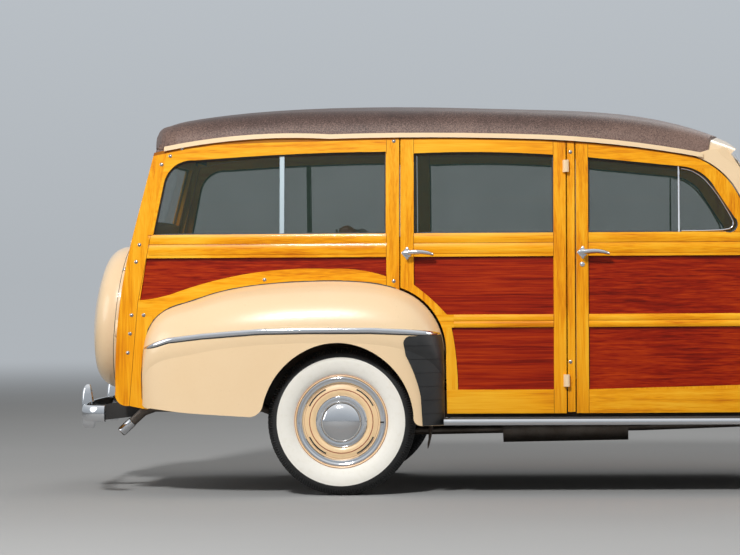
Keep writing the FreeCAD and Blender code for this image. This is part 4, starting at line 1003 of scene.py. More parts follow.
def arc_strip(form, radius, width, height, middle, span):
    """Flat curved strip on the wheel's face, its middle and span in degrees."""
    rings = []
    for k in range(13):
        t = math.radians(middle - span / 2 + span * k / 12)
        rings.append([Vector((math.cos(t) * r, -y, math.sin(t) * r)) * MM for r, y in (
            (radius - width / 2, height - 2), (radius - width / 2, height), (radius + width / 2, height),
            (radius + width / 2, height - 2))])
    return form.loft(rings)


HUB_CAP = ((44, 124), (52, 123.5), (56, 119.5), (57.5, 113), (57, 105.5), (56, 101.5), (56.5, 99.5), (62, 97), (71, 90),
           (79, 76), (85, 57), (88.8, 34), (90, 13), (90.3, 0))
TRIM_RING = ((43, 183), (51, 186), (55.5, 189), (57, 194), (56.2, 198), (57, 201), (60, 205), (60.5, 209), (59, 213),
             (56, 216))
WHEEL_FACE = ((42, 121), (48, 128), (51.5, 140), (51.8, 150), (50, 162), (46.5, 172), (44.5, 180), (44, 186))
RIM_LIP = ((57.2, 214.5), (59.5, 217), (60.5, 220), (59.5, 223.5), (56.5, 226), (54, 226))


def wheel_forms():
    """Dressing of one wheel round its own centre, outside at negative Y: (name, form, finish, slot) each."""
    def turned(*profiles):
        form = Form()
        for profile in profiles:
            form.revolve(profile, Vector(), -LEFT, 128)
        return form

    # Black arcs on the wheel's face are painted shade for the dark openings of its slots; the valve stem joins them.
    slot_shade_and_valve = Form()
    for k in range(4):
        arc_strip(slot_shade_and_valve, 170, 6.0, 50.2, 45 + 90 * k, 38)
    valve = [Vector(p) * MM for p in ((190, -48, -4), (194, -60, -4), (197, -68, -4))]
    return (("tread_tyre", tyre_form(), "tyre", None), ("hub_cap", turned(HUB_CAP), "chrome", None),
            ("trim_ring", turned(TRIM_RING), "chrome", None),
            ("wheel_face", turned(WHEEL_FACE, RIM_LIP), "wheel_disc", None),
            ("wheel_slots", slot_shade_and_valve.tube(valve, [5, 4.4, 3.6]), "black", "tyre"))


def wheels():
    """Dresses the four wheels. The left ones are turned half round, and the tyres replace the plain ones."""
    forms = wheel_forms()
    for side, s in SIDES:
        for end in ("front", "rear"):
            hub = centre_of(f"tyre_{end}_{side}")
            body = f"wheel_{end}_{side}"
            for name, form, finish, slot in forms:
                made = form.make(f"{name}_{end}_{side}", body, finish, slot, sharp=30)
                made.matrix_world = Matrix.Translation(hub) @ Matrix.Rotation(math.pi if s > 0 else 0.0, 4, "Z")
                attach(made, body)
                if name == "tread_tyre":
                    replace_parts(made, f"tyre_{end}_{side}")


# Fenders

FENDER_TAIL = ((-962, 425), (-974, 468), (-976, 582), (-966, 696), (-942, 800))


def fender_welts():
    """Dark bead pinched between each rear fender and the wood."""
    skin = skin_of("rear_fenders")
    path = list(FENDER_TAIL)
    for x in range(-915, 280, 25):
        for z in range(1045, 780, -2):
            point, _ = side_hit(skin, x, z)
            if point is not None and -point.y / MM > wall_y(x, z) + 1:
                path.append((x, z + 1))
                break
    places, outs = zip(*(wall_hit(x, z) for x, z in path))
    Form().sweep(places, half_round(8, 4.5), outs).make_pair("fender_welt", "root", "rubber")


def front_fender_strips():
    """Bright half-round strip along each front fender, pointed at both ends."""
    path = ((2105, 776), (2300, 784), (2600, 790), (2900, 792), (3200, 788), (3420, 778), (3500, 772))
    strip_on(skin_of("front_fenders"), path, half_round(25, 6, 8), tapered(0.3, 0.3)).make_pair(
        "fender_strip_front", "root", "chrome")


def eased(node, width, segments, angle):
    """Bevel on a node's edges that turn by more than an angle."""
    bevel = frame["nodes"][node].modifiers.new("eased_edges", "BEVEL")
    bevel.width, bevel.segments, bevel.limit_method = width * MM, segments, "ANGLE"
    bevel.angle_limit = math.radians(angle)
    return bevel


def rounded_edges():
    """Eased edges on the wooden frames and castings, and even shading on the pressed sheets."""
    doors = [f"door_{end}_{side}_frame" for end in ("front", "rear") for side, _ in SIDES]
    for node in ["body_framing", "tailgate_frame", "liftgate_frame", *doors]:
        eased(node, 2.2, 2, 40).harden_normals = True
    eased("engine", 16, 3, 30)
    eased("radiator", 12, 3, 30)
    for node in ("cowl_shell", "hood", "nose_panel"):
        frame["nodes"][node].modifiers.new("even_shading", "WEIGHTED_NORMAL").keep_sharp = True


# Gates

def rear_x(z):
    """X of the rear gates' outer face at height z."""
    low = min(max(z, REAR_Z), GATE_SPLIT) - REAR_Z
    return REAR_X + low ** 2 / (2 * REAR_R) + max(z - GATE_SPLIT, 0.0) * (GATE_SPLIT - REAR_Z) / REAR_R


def rear_loop(y0, y1, z0, z1, depth):
    """Points round a rectangle in the gates' outer face, at a depth inside it."""
    corners = [(y0, z0), (y1, z0), (y1, z1), (y0, z1), (y0, z0)]
    return [at(rear_x(z) + depth, y, z) for y, z in resampled(corners, 80.0)[:-1]]


def gate_fittings():
    """Window seal, handles, hinge straps and tail lamps at the back."""
    back = -AHEAD
    loop = rear_loop(-523, 523, 1323, 1613, 13)
    Form().along(loop, [(-8, -3), (-8, 4), (-3, 7), (3, 7), (8, 4), (8, -3)], back, looped=True).make(
        "liftgate_seal", "liftgate", "rubber")
    z = 1292
    lift = Form().revolve([(-1, 30), (4, 29), (7, 24), (8, 12), (26, 11), (30, 13), (34, 12), (36, 0)],
                          at(rear_x(z), 0, z), back, 32)
    lift.tube([at(rear_x(z) - 28, y, z) for y in (-62, -50, 0, 50, 62)], [5, 8, 10, 8, 5], 16)
    lift.make("liftgate_handle", "liftgate", "chrome")
    latches, straps, bezels, lenses = (Form() for _ in range(4))
    z = 1225
    for s in (-1, 1):
        place = at(rear_x(z), s * 500, z)
        latches.revolve([(-1, 22), (3, 21), (6, 16), (7, 9), (22, 8), (26, 10), (30, 8), (31, 0)], place, back, 28)
        lever = ((-24, 0, 0), (-26, -s * 30, 1), (-22, -s * 58, 0))
        latches.tube([place + Vector(p) * MM for p in lever], [8, 6.5, 4])
        straps.loft([[at(rear_x(z) - t, s * 320 + dy, z) for dy, t in ((-16, -1), (-16, 3), (16, 3), (16, -1))]
                     for z in (474, 515, 556)])
        lamp = at(rear_x(800) - 10, s * 645, 800)
        bezels.revolve([(-11, 46), (-3, 46), (1.5, 44.5), (3, 41), (2.5, 37), (-0.5, 36)], lamp, back)
        for k in range(1, 5):
            r, fall = k * 9.2, k * 0.2
            lenses.revolve([(-1, r), (1.5 - fall, r - 0.5), (3.2 - 2 * fall, r - 4), (2 - 2 * fall, r - 9)], lamp, back)
    latches.make("tailgate_latches", "tailgate", "chrome")
    straps.make("tailgate_hinge_straps", "tailgate", "paint")
    bezels.make("tail_lamp_bezels", "root", "paint")
    lenses.make("tail_lamp_lenses", "root", "red_lens")


def cover_fittings():
    """Band, seam and clamp bolt of the spare wheel's cover."""
    tilt = math.atan((COVER_Z - REAR_Z) / REAR_R)
    out = Vector((-math.cos(tilt), 0, math.sin(tilt)))
    centre = at(rear_x(COVER_Z), 0, COVER_Z)
    Form().revolve([(52, 361.5), (53, 364), (56, 365), (62, 365), (65, 364), (66, 361.5)], centre, out, 160).make(
        "spare_cover_band", "tailgate", "paint")
    bead = Form().revolve([(66.5, 360), (67.5, 361.2), (69.5, 361.2), (70.5, 360)], centre, out, 160)
    bead.make("spare_cover_seam", "tailgate", "black")
    turn = math.radians(48)
    away = (LEFT * -math.sin(turn) - out.cross(LEFT) * math.cos(turn)).normalized()
    lug = Form().revolve([(-2, 10), (5, 9.5), (8, 6), (9, 0)], centre + (out * 59 + away * 364) * MM, away, 20)
    lug.make("spare_cover_clamp", "tailgate", "bolt_metal")


# Bumpers

def blade_path(end, bend, corner, centre_x):
    """Plan points of a bumper's outer face, from its right end to its left."""
    right = [end] + arc_points(end, bend, corner, 12)
    far = [(x, -y) for x, y in reversed(right)]
    return right + arc_points(corner, (centre_x, 0), far[0], 40) + far[1:]


def guard_form(y, rows, ahead):
    """Overrider of (z, outer x, inner x, half-width) rows. ahead is 1 where it faces forward."""
    rings = []
    for z, face, inside, w in rows:
        half = [(inside, 1.0), (face - 14 * ahead, 1.0), (face - 5 * ahead, 0.84), (face - ahead, 0.5)]
        ring = [(x, -k) for x, k in half] + [(face, 0)] + list(reversed(half))
        rings.append([at(x, y + k * w, z) for x, k in ring])
    return Form().loft(rings)


def facing(path, ahead):
    """Level directions square to a plan path, on the side that faces ahead of the car (1) or behind it (-1)."""
    outs = []
    for i in range(len(path)):
        (ax, ay), (bx, by) = path[max(i - 1, 0)], path[min(i + 1, len(path) - 1)]
        out = Vector((by - ay, ax - bx, 0)).normalized()
        outs.append(out if out.x * ahead > 0 or abs(out.x) < 0.2 and out.y * ay > 0 else -out)
    return outs


def bumper(end, path, z0, z1, guard_y, rows, ahead):
    """Crowned blade with rolled edges and its two overriders, in place of the plain ones."""
    mid, half = (z0 + z1) / 2, (z1 - z0) / 2
    upper = [(half * 0.2, 9.8), (half * 0.55, 8.6), (half - 7, 5.5), (half - 2, 3), (half + 0.1, -1), (half, -13)]
    section = [(-a, b) for a, b in reversed(upper)] + upper
    form = Form().sweep([at(x, y, mid) for x, y in path], section, facing(path, ahead))
    for y in (-guard_y, guard_y):
        form.join(guard_form(y, rows, ahead))
    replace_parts(form.make(f"{end}_bumper_bar", "root", "chrome", sharp=50), f"{end}_bumper")


def bumpers():
    """Rear and front bumper. Their overriders' rows are (z, outer x, inner x, half-width)."""
    rear_rows = ((306, -1312, -1268, 18), (318, -1322, -1264, 22), (338, -1326, -1263, 24), (440, -1326, -1271, 24),
                 (475, -1323.5, -1277, 23), (500, -1319, -1281, 21), (514, -1311, -1284, 17), (522, -1302, -1287, 12))
    bumper("rear", blade_path((-1130, -872), (-1195, -848), (-1248, -770), -1306), 360, 437, 376, rear_rows, -1)
    face = FRONT_FACE
    front_rows = [(z, face - a, face - b, w) for z, a, b, w in (
        (324, 14, 56, 18), (336, 4, 58, 22), (352, 0, 60, 24), (455, 0, 52, 24), (488, 2.5, 47, 23), (510, 7, 44, 21),
        (523, 15, 41, 17), (531, 24, 38, 12))]
    bumper("front", blade_path((face - 264, -905), (face - 156, -872), (face - 94, -790), face - 20), 380, 462, 348,
           front_rows, 1)


def exhaust_tip():
    """Bright sleeve on the end of the pipe."""
    a, b = at(-1062, -452, 340.5), at(-1119, -452, 288.5)
    Form().revolve([(0, 22.4), (2, 24.5), (70, 24.5), (73, 23.5), (72, 21.5), (30, 20.5), (30, 0)], a, b - a, 32).make(
        "exhaust_tip", "root", "chrome")


# Front end

def nose_apron():
    """Sheet behind the nose panel's top that closes the bay from the radiator forward."""
    high = extent("nose_panel")[1]
    x0, x1, z = extent("radiator")[1][0] + 12, high[0] - 60, high[2] - 8
    rows = ((0, range(-400, 401, 80)), (-2.5, range(400, -401, -80)))
    rings = []
    for k in range(9):
        x, crown = x0 + (x1 - x0) * k / 8, 6 * math.sin(math.pi * k / 8)
        rings.append([at(x, y, z + dz + crown - (y / 400) ** 2 * 10) for dz, ys in rows for y in ys])
    Form().loft(rings).make("nose_apron", "root", "paint")


def engine_heads(back, front, half, top):
    """Cylinder heads with their bolts, and the plugs with their leads."""
    heads, head_bolts, plugs = Form(), Form(), Form()
    section = ((-55, -2), (-55, 14), (-46, 22), (46, 22), (55, 14), (55, -2))
    for s in (-1, 1):
        y = s * (half - 62)
        ends = ((back + 70, 0.7), (back + 78, 1.0), (front - 78, 1.0), (front - 70, 0.7))
        heads.loft([[at(x, y + dy * k, top + dz) for dy, dz in section] for x, k in ends])
        for k in range(7):
            x = back + 96 + (front - back - 192) * k / 6
            for dy in (-40, 40):
                dome(head_bolts, at(x, y + dy, top + 22), UP, 8, 7)
        for k in range(4):
            x = back + 130 + (front - back - 260) * k / 3
            plugs.revolve([(0, 13), (8, 13), (10, 8), (34, 7), (36, 4), (44, 3.5), (44, 0)], at(x, y, top + 21), UP, 14)
            plugs.tube([at(x, y, top + 62), at(x - 10, y - s * 22, top + 74), at(x - 40, y - s * 60, top + 50),
                        at(back + 60, s * 20, top + 34)], 3.5, 8)
    heads.make("cylinder_heads", "root", "engine")
    head_bolts.make("head_bolts", "root", "dull_metal")
    plugs.make("spark_leads", "root", "rubber", "control_plastic")


def cooling_fan(front, z):
    """Hub and four pitched blades ahead of the engine."""
    fan = Form().revolve([(-2, 60), (10, 60), (14, 48), (22, 48), (26, 60), (34, 60), (36, 26), (40, 24), (41, 0)],
                         at(front, 0, z), AHEAD, 40)
    for k in range(4):
        t = math.radians(45 + 90 * k)
        radial, aside = Vector((0, math.cos(t), math.sin(t))), Vector((0, -math.sin(t), math.cos(t)))
        blade = []
        for r, w, lean in ((40, 22, 6), (90, 34, 10), (165, 44, 12), (185, 30, 9)):
            corners = ((-w, -lean), (w, lean), (w, lean + 3), (-w, -lean + 3))
            blade.append([at(front + 44, 0, z) + (radial * r + aside * a + AHEAD * b) * MM for a, b in corners])
        fan.loft(blade)
    fan.make("cooling_fan", "root", "engine")


def radiator_dressing(x, low, deck):
    """Header tank with its cap, and the tubes on both faces of the core. x is the core's middle, deck its top."""
    section = ((-34, -34), (-34, 0), (-26, 10), (0, 16), (26, 10), (34, 0), (34, -34))
    tank = Form().loft([[at(x + dx * k, y, deck - 4 + (dz * k if dz > 0 else dz)) for dx, dz in section]
                        for y, k in ((-300, 0.94), (-292, 1.0), (292, 1.0), (300, 0.94))])
    tank.revolve([(-4, 20), (18, 20), (20, 28), (28, 29), (31, 24), (33, 0)], at(x, 0, deck + 10), UP, 28)
    for face in (-1, 1):
        for k in range(29):
            y = -280 + k * 20
            tank.loft([[at(x + face * (31 + dx), y + dy, z) for dx, dy in ((-2, -4), (3, -1.5), (3, 1.5), (-2, 4))]
                       for z in (low + 30, deck - 38)])
    tank.make("radiator_dressing", "root", "black")


def engine_bay():
    """What is seen with the hood up: heads, air cleaner, fan, hoses and the radiator."""
    (back, _, _), (front, half, top) = extent("engine")
    (core, _, low), (_, _, deck) = extent("radiator")
    engine_heads(back, front, half, top)
    place = at((back + front) / 2 + 10, 0, top)
    intake = Form().revolve([(-2, 42), (22, 40), (26, 34), (44, 33), (46, 44), (50, 46)], place, UP, 32)
    intake.revolve([(48, 40), (49, 96), (53, 102), (66, 104), (70, 100), (72, 60), (78, 52), (80, 18), (86, 10),
                    (87, 0)], place, UP)
    intake.make("air_cleaner", "root", "black", "engine_paint")
    cooling_fan(front, top - 110)
    hoses = Form()
    for y in (-150, 150):
        hoses.tube([at(core + 4, y, deck - 36), at(core - 26, y, deck - 36), at(core - 70, y * 0.98, deck - 50),
                    at(front - 60, y * 0.95, top + 16), at(front - 84, y * 0.95, top + 6)], 21, 20)
    hoses.make("radiator_hoses", "root", "rubber")
    radiator_dressing(core + 30, low, deck)


def grille_dressing():
    """Crowned bright bars with a painted groove, and the frame round the opening."""
    end, middle = WHEELBASE + 710, WHEELBASE + 766
    bow = [(end, -330)] + arc_points((end, -330), (middle, 0), (end, 330), 28)
    crown = [(3, 4.5), (4, 6), (12, 4.5), (17, 1), (17, -2)]
    crown = [(-a, b) for a, b in reversed(crown)] + crown
    bars, grooves = Form(), Form()
    for z in (520, 592, 664):
        points, outs = [at(x, y, z) for x, y in bow], facing(bow, 1)
        bars.sweep(points, crown, outs)
        grooves.sweep(points, [(-2.8, 4), (-2.8, 5), (2.8, 5), (2.8, 4)], outs)
    bars.make("grille_bars_crowned", "root", "chrome")
    grooves.make("grille_bar_stripes", "root", "stripe_paint")
    skin = skin_of("nose_panel")
    edge = resampled([(-342, 456), (342, 456), (342, 728), (-342, 728), (-342, 456)], 40.0)[:-1]
    loop = [p for p in (skin_point(skin, at(5000, y, z), -AHEAD) for y, z in edge) if p is not None]
    Form().along(loop, half_round(20, 8), AHEAD, looped=True).make("grille_frame", "root", "chrome")


def lamp_rims():
    """Bright rims of the headlamps and parking lamps, and the parking lamps' lenses."""
    rims, lenses = Form(), Form()
    for s in (-1, 1):
        rims.revolve([(2, 99), (6, 104), (16, 109), (28, 112.5), (36, 112.5), (41, 110), (43, 105), (42, 99), (38, 96)],
                     at(WHEELBASE + 704, s * HEADLAMP_Y, HEADLAMP_Z), AHEAD, 72)
        parking = at(WHEELBASE + 706, s * 366, 744)
        rims.revolve([(-4, 30), (2, 31), (8, 29.5), (11, 26), (10, 22), (7, 21)], parking, AHEAD, 40)
        lenses.revolve([(8, 23), (13, 19), (17, 11), (19, 0)], parking, AHEAD, 32)
    rims.make("lamp_rims", "root", "chrome")
    lenses.make("parking_lenses", "root", "lens")


def hood_trim():
    """Centre strip that ends in a raised fin at the nose, and the side strips."""
    skin = skin_of("hood")
    spine = [skin_point(skin, at(x, 0, 2000), -UP) for x in range(2330, int(WHEELBASE + 700), 30)]
    trim = Form().along(spine, half_round(15, 6, 8), UP)
    tail = spine[-9:-1]
    fin = [p + UP * h * MM for p, h in zip(tail, (4, 12, 19, 24, 27, 28, 26, 20))]
    trim.tube(fin, [1.5, 5, 8.5, 11.5, 13.5, 14, 11, 3], 20)
    trim.tube([fin[5] - UP * 4 * MM, tail[5]], [7, 9])
    trim.make("hood_centre_strip", "hood", "chrome")
    path = ((2312, 1008), (2700, 992), (3050, 966), (3300, 934), (3450, 905))
    strip_on(skin, path, half_round(18, 6, 8), tapered(0.9, 0.25)).make_pair("hood_side_strip", "hood", "chrome")


# Windscreen: foot at the middle of the car, and the right pane's directions
SCREEN_FOOT = (2200, 0, 1215)
SCREEN_SIDE = Vector((-0.101, -0.995, 0))
SCREEN_UP = Vector((-0.563, 0, 0.826))
SCREEN_OUT = SCREEN_UP.cross(SCREEN_SIDE).normalized()
if SCREEN_OUT.x < 0:
    SCREEN_OUT.negate()


def screen_point(across, up, out):
    """A point on the right-hand pane, in millimetres from the foot."""
    return at(*SCREEN_FOOT) + (SCREEN_SIDE * across + SCREEN_UP * up + SCREEN_OUT * out) * MM


def windscreen():
    """Seals, the bright centre bar and the wipers."""
    corners = [(36, 26), (636, 26), (636, 481), (36, 481), (36, 26)]
    loop = [screen_point(a, b, 4) for a, b in resampled(corners, 120.0)[:-1]]
    Form().along(loop, [(-9, -2), (-9, 6), (-4, 10), (4, 10), (9, 6), (9, -2)], SCREEN_OUT, looped=True).make_pair(
        "windscreen_seal", "root", "rubber")
    arm = Form().revolve([(-4, 16), (8, 15), (14, 11), (16, 0)], screen_point(330, -42, 6), SCREEN_OUT, 24)
    arm.tube([screen_point(330, -42, 16), screen_point(300, 40, 24), screen_point(255, 140, 18)], [5, 3.6, 3], 12)
    arm.make_pair("wiper_arm", "root", "chrome")
    blade = [screen_point(a, b, 10) for a, b in ((345, 42), (310, 92), (255, 148), (200, 196), (150, 236))]
    Form().along(blade, [(-3, -4), (-1.5, -6), (1.5, -6), (3, -4), (3.5, 5), (-3.5, 5)], SCREEN_OUT).make_pair(
        "wiper_blade", "root", "rubber")
    x, y, z = SCREEN_FOOT
    bar = [at(x + 21 - 0.563 * b, y, z + 11 + 0.826 * b) for b in (-18, 100, 250, 400, 520)]
    Form().along(bar, half_round(20, 7, 8), Vector((0.826, 0, 0.563))).make("windscreen_centre_bar", "root", "chrome")


# Cabin

LOAD_FLOOR_Z = 640.0
BENCHES = (
    # x of the back's foot, base z, half-width
    ("front", 1240, 492.3, 610), ("middle", 560, 492.3, 610), ("rear", 50, LOAD_FLOOR_Z + 0.3, 540),
)
FULL_HALF = 610
PLEAT, PLEAT_DEPTH = 92.0, 7.0


def rounded_block(size, radius):
    """Mesh of a block round its own centre with rounded edges, in metres."""
    work = bmesh.new()
    bmesh.ops.create_cube(work, size=1.0)
    for v in work.verts:
        v.co = Vector([c * length for c, length in zip(v.co, size)]) * MM
    bmesh.ops.bevel(work, geom=list(work.edges), offset=radius * MM, segments=3, affect="EDGES", profile=0.5)
    mesh = bpy.data.meshes.new("block")
    work.to_mesh(mesh)
    work.free()
    return mesh


def stuffed(mesh, cap):
    """The block blown up as a stuffed cover by a cloth simulation. No point moves further than cap."""
    scene = bpy.context.scene
    made = bpy.data.objects.new("stuffing", mesh)
    scene.collection.objects.link(made)

    def evaluated():
        graph = bpy.context.evaluated_depsgraph_get()
        return bpy.data.meshes.new_from_object(made.evaluated_get(graph))

    remesh = made.modifiers.new("Remesh", "REMESH")
    remesh.mode, remesh.voxel_size = "VOXEL", 11 * MM
    start = evaluated()
    made.modifiers.clear()
    made.data = start
    rest = [v.co.copy() for v in start.vertices]
    cloth = made.modifiers.new("Cloth", "CLOTH").settings
    cloth.use_pressure = True
    cloth.uniform_pressure_force = 4.0
    cloth.effector_weights.gravity = 0.0
    cloth.quality = 4
    for number in range(1, 21):
        scene.frame_set(number)
    blown = evaluated()
    for v, p in zip(blown.vertices, rest):
        move = v.co - p
        if move.length > cap * MM:
            v.co = p + move.normalized() * cap * MM
    bpy.data.objects.remove(made)
    scene.frame_set(1)
    return blown


def pleated(mesh, size, axis):
    """Sews channels along the pad and flattens its back. The pad's soft side looks along the axis."""
    back = -size[axis] / 2 * MM
    for v in mesh.vertices:
        co = v.co
        top = max(0.0, min(1.0, co[axis] / (size[axis] * MM * 0.25)))
        across = abs((co.y / MM / PLEAT) % 1.0 - 0.5) * 2
        groove = max(0.0, across - 0.86) / 0.14
        border = max(0.0, min(1.0, (size[1] / 2 - abs(co.y) / MM) / 60))
        low = co[axis] < back
        co[axis] = back if low else co[axis] - top * groove ** 0.7 * PLEAT_DEPTH * MM * border
    return mesh


def pad(name, mesh, place, tilt, width):
    """Leather piece from a shared pad, scaled in width and tilted."""
    made = bpy.data.objects.new(name, mesh.copy())
    made.data.materials.clear()
    made.data.materials.append(finishes["leather"])
    for v in made.data.vertices:
        v.co.y *= width
    for face in made.data.polygons:
        face.use_smooth = True
    made.matrix_world = Matrix.Translation(place) @ Matrix.Rotation(tilt, 4, "Y")
    bpy.context.scene.collection.objects.link(made)
    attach(made, "root")
    return made


def seat_frame(name, x, z, half):
    """Steel box under a cushion and the three straps that carry its back."""
    base = Form()
    for x0, x1, z0, z1 in ((x + 6, x + 448, z, z + 196), (x + 12, x + 470, z + 196, z + 232)):
        plan = ((x0 + 8, -half + 10), (x1 - 8, -half + 10), (x1, -half + 18), (x1, half - 18), (x1 - 8, half - 10),
                (x0 + 8, half - 10), (x0, half - 18), (x0, -half + 18))
        base.loft([[at(a, b, c) for a, b in plan] for c in (z0 + 0.2, z1)])
    for y in (-half + 40, 0, half - 40):
        base.along([at(x + 10, y, z + 180), at(x + 2, y, z + 260), at(x - 54, y, z + 480), at(x - 96, y, z + 640)],
                   [(-14, -4), (-14, 4), (14, 4), (14, -4)], -AHEAD)
    base.make(f"seat_frame_{name}", "root", "seat_steel")


def seats():
    """Three benches that share one cushion and one back."""
    cushion_size, back_size = (410, 1170, 105), (62, 1170, 385)
    cushion = pleated(stuffed(rounded_block(cushion_size, 24), 26), cushion_size, 2)
    back = pleated(stuffed(rounded_block(back_size, 20), 24), back_size, 0)
    lean = math.atan2(190, 315) * 0.62
    for name, x, z, half in BENCHES:
        share = half / FULL_HALF
        made = pad(f"seat_cushion_{name}", cushion, at(x + 302, 0, z + 287), math.radians(-3), share)
        if name == "front":
            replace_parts(made, "seats")
        pad(f"seat_back_{name}", back, at(x - 3, 0, z + 487), -lean, share)
        seat_frame(name, x, z, half)


def headliner():
    """Ash bows and slats under the roof, stained dark."""
    skin = skin_of("roof")
    slats, bows = Form(), Form()

    def lath(form, places, gap, section):
        """Strip along the roof's underside, a gap below it."""
        hits = [skin_point(skin, at(x, y, 1560), UP) for x, y in places]
        form.along([p - UP * gap * MM for p in hits if p is not None], section, UP)

    for k in range(-6, 7):
        lath(slats, [(x, k * 88.0) for x in range(-780, 1760, 120)], 7, [(-26, -3), (-26, 3), (26, 3), (26, -3)])
    for x in (-700, -250, 200, 650, 1100, 1500):
        lath(bows, [(x, y) for y in range(-600, 601, 60)], 22, [(-18, -11), (-18, 11), (18, 11), (18, -11)])
    slats.make("headliner_slats", "root", "dark_wood")
    bows.make("roof_bows", "root", "dark_wood")


def load_floor():
    """Boards with bright skid strips behind the rear bench."""
    boards, strips = Form(), Form()
    section = ((-59, 0), (-59, 6), (-57, 8), (57, 8), (59, 6), (59, 0))
    for k in range(9):
        y = (k - 4) * 124.0
        boards.loft([[at(x, y + dy, LOAD_FLOOR_Z + 0.2 + h) for dy, h in section] for x in (-1010, 30)])
        if k < 8:
            strips.along([at(x, y + 62, LOAD_FLOOR_Z + 7) for x in (-1005, 25)], half_round(9, 4), UP)
    boards.make("load_floor_boards", "root", "maple_trim")
    strips.make("load_floor_strips", "root", "dull_metal")


def door_linings():
    """Lining boards, pulls and window cranks inside the doors."""
    for end, x0, x1 in (("rear", 560, 1040), ("front", 1180, 1980)):
        lining, fittings = Form(), Form()
        lining.loft([[at(x, d - wall_y(x, z), z) for x, d in ((x0, 45.5), (x1, 45.5), (x1, 49), (x0, 49))]
                     for z in (520, 700, 880, 1060, 1232)])
        for x, z in ((x0 + (x1 - x0) * 0.42, 985), (x1 - 150, 1120)):
            place = at(x, 49 - wall_y(x, z), z)
            fittings.revolve([(-1, 20), (4, 19), (7, 12), (16, 9), (18, 0)], place, LEFT, 24)
            arm = ((0, 13, 0), (-45, 16, -30), (-75, 18, -48))
            fittings.tube([place + Vector(p) * MM for p in arm], [6, 5, 4], 12)
        lining.make_pair(f"door_lining_{end}", f"door_{end}", "mahogany_side")
        fittings.make_pair(f"door_cranks_{end}", f"door_{end}", "chrome")


def dash_details():
    """Dials, radio bars, glove box and knobs on the dashboard, and the mirror."""
    skin = skin_of("dashboard")
    back = -AHEAD
    rims, dials, knobs = Form(), Form(), Form()

    def face_at(y, z):
        return skin_point(skin, at(1900, y, z), AHEAD)

    for y, r in ((360, 52), (255, 30), (465, 30)):
        face = face_at(y, 1085)
        rims.revolve([(-1, r + 7), (5, r + 6), (9, r + 2), (7, r - 1), (2, r - 1)], face, back, 40)
        dials.revolve([(2.5, r), (2.5, 0)], face, back, 40)
        rims.tube([face + Vector((-4, 0, 0)) * MM, face + Vector((-4, r * 0.4, r * 0.6)) * MM], [2, 0.8], 8)
    for k in range(9):
        y = -72 + k * 18
        rims.along([face_at(y, 1040), face_at(y, 1120)], half_round(7, 4), back)
    for y in (-150, -120, 120, 150):
        knobs.revolve([(-1, 8), (10, 8), (14, 12), (22, 12), (25, 8), (26, 0)], face_at(y, 1035), back, 20)
    box = resampled([(-480, 1035), (-230, 1035), (-230, 1125), (-480, 1125), (-480, 1035)], 60.0)[:-1]
    rims.along([face_at(y, z) for y, z in box], half_round(6, 3), back, looped=True)
    rims.make("dash_bright_parts", "root", "chrome")
    dials.make("dash_dials", "root", "dial")
    knobs.make("dash_knobs", "root", "plastic")
    glass = ((-80, -16), (-86, 0), (-80, 18), (80, 18), (86, 0), (80, -16))
    mirror = Form().loft([[at(1846 + dx, y, 1585 + dz) for y, dz in glass] for dx in (-4, 4)])
    mirror.tube([at(1848, 0, 1590), at(1866, 0, 1640)], 5, 12)
    mirror.make("rear_view_mirror", "root", "chrome")


# Stage, light and camera

HORIZON = (0.43, 0.46, 0.49, 1)


FLOOR_SIZE = 60.0


def stage():
    """Pale floor that fades into the background."""
    a = FLOOR_SIZE
    floor = bpy.data.meshes.new("studio_floor")
    floor.from_pydata([(-a, -a, 0), (a, -a, 0), (a, a, 0), (-a, a, 0)], [], [(0, 1, 2, 3)])
    ground = Finish("studio_floor_finish", specular_ior_level=0.0, roughness=0.9, emission_strength=1.0)
    far = ((ground.x * ground.x + ground.y * ground.y) ** 0.5).rise(7500, 24000)
    near = ground.mix(ground.noise(ground.position, 0.6, 2.0), (0.38, 0.38, 0.375, 1), (0.41, 0.41, 0.405, 1))
    ground.put("Base Color", ground.mix(far, near, (0, 0, 0, 1)))
    ground.put("Emission Color", ground.mix(far, (0, 0, 0, 1), HORIZON))
    floor.materials.append(ground.material)
    made = bpy.data.objects.new("studio_floor", floor)
    bpy.context.scene.collection.objects.link(made)


def studio():
    """World that lights the car evenly and shows itself, to the eye and in gloss and glass, as a pale backdrop."""
    world = bpy.data.worlds.new("studio")
    bpy.context.scene.world = world
    world.use_nodes = True
    tree = world.node_tree
    tree.nodes.clear()
    output, lit, seen, blend, place, parts, ramp, path = (tree.nodes.new(f"ShaderNode{kind}") for kind in (
        "OutputWorld", "Background", "Background", "MixShader", "TexCoord", "SeparateXYZ", "ValToRGB", "LightPath"))
    lit.inputs[0].default_value = (0.96, 0.98, 1.0, 1)
    lit.inputs[1].default_value = 0.30
    seen.inputs[1].default_value = 1.0
    stops = ramp.color_ramp.elements
    stops[0].position, stops[0].color = 0.0, HORIZON
    stops[1].position, stops[1].color = 0.8, (0.93, 0.95, 0.97, 1)
    stops.new(0.16).color = (0.52, 0.56, 0.60, 1)
    shown = path.outputs["Is Camera Ray"]
    for kind in ("Is Glossy Ray", "Is Transmission Ray"):
        add = tree.nodes.new("ShaderNodeMath")
        add.operation, add.use_clamp = "ADD", True
        tree.links.new(shown, add.inputs[0])
        tree.links.new(path.outputs[kind], add.inputs[1])
        shown = add.outputs[0]
    for source, target in ((place.outputs["Generated"], parts.inputs[0]), (parts.outputs[2], ramp.inputs[0]),
                           (ramp.outputs[0], seen.inputs[0]), (shown, blend.inputs[0]),
                           (lit.outputs[0], blend.inputs[1]), (seen.outputs[0], blend.inputs[2]),
                           (blend.outputs[0], output.inputs[0])):
        tree.links.new(source, target)


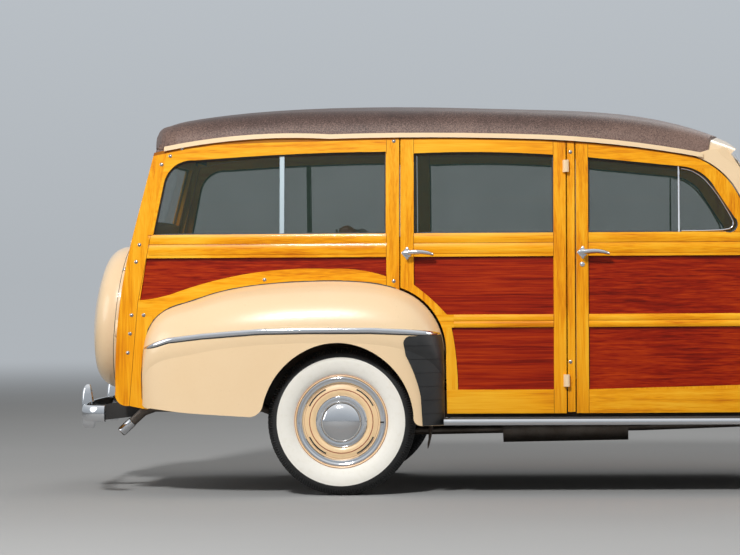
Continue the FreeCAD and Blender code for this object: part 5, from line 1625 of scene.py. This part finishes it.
def lamps():
    """Round soft lamps that face the car: (name, place, size, power)."""
    for name, place, size, power in (
            ("key", (-3.0, -9.5, 7.8), 1.5, 1040), ("fill", (-8.5, -3.0, 2.6), 4.0, 90),
            ("back", (1.5, 7.0, 8.0), 5.0, 190), ("front", (9.0, -1.0, 3.5), 4.0, 160)):
        data = bpy.data.lights.new(name, "AREA")
        data.shape, data.size, data.energy = "DISK", size, power
        lamp = bpy.data.objects.new(name, data)
        lamp.location = place
        lamp.rotation_euler = (UP * 0.8 - Vector(place)).to_track_quat("-Z", "Y").to_euler()
        bpy.context.scene.collection.objects.link(lamp)


# Camera fitted to the photograph: its place in millimetres, as at() counts them, and the image column of its axis
IMAGE_WIDTH = 740
FOCAL_PIXELS = 2874.0
AXIS_PIXEL = 480.0
CAMERA_X, CAMERA_Y, CAMERA_Z = 1179.5, -14550.0, 1041.5
YAW, ROLL = math.radians(2.13), math.radians(-0.30)


def camera():
    """Camera at the photograph's viewing angle."""
    data = bpy.data.cameras.new("photo_camera")
    data.sensor_width = 36.0
    data.lens = FOCAL_PIXELS * data.sensor_width / IMAGE_WIDTH
    data.shift_x = (IMAGE_WIDTH / 2 - AXIS_PIXEL) / IMAGE_WIDTH
    data.clip_end = 200.0
    ahead = Vector((-math.sin(YAW), math.cos(YAW), 0))
    right = Vector((math.cos(YAW), math.sin(YAW), 0))
    c, s = math.cos(ROLL), math.sin(ROLL)
    across, above = right * c + UP * s, UP * c - right * s
    made = bpy.data.objects.new("photo_camera", data)
    made.matrix_world = Matrix.Translation(at(CAMERA_X, CAMERA_Y, CAMERA_Z)) @ Matrix(
        [[across[i], above[i], -ahead[i]] for i in range(3)]).to_4x4()
    bpy.context.scene.collection.objects.link(made)
    bpy.context.scene.camera = made


for step in (finish_nodes, window_seals, vent_frames, side_hardware, fender_strips, running_board_trim, wheels,
             fender_welts, front_fender_strips, rounded_edges, nose_apron, engine_bay, gate_fittings, cover_fittings,
             bumpers, exhaust_tip, grille_dressing, lamp_rims, hood_trim, windscreen, seats, headliner, load_floor,
             door_linings, dash_details, stage, studio, lamps, camera):
    step()
bpy.context.scene.view_settings.view_transform = "Standard"
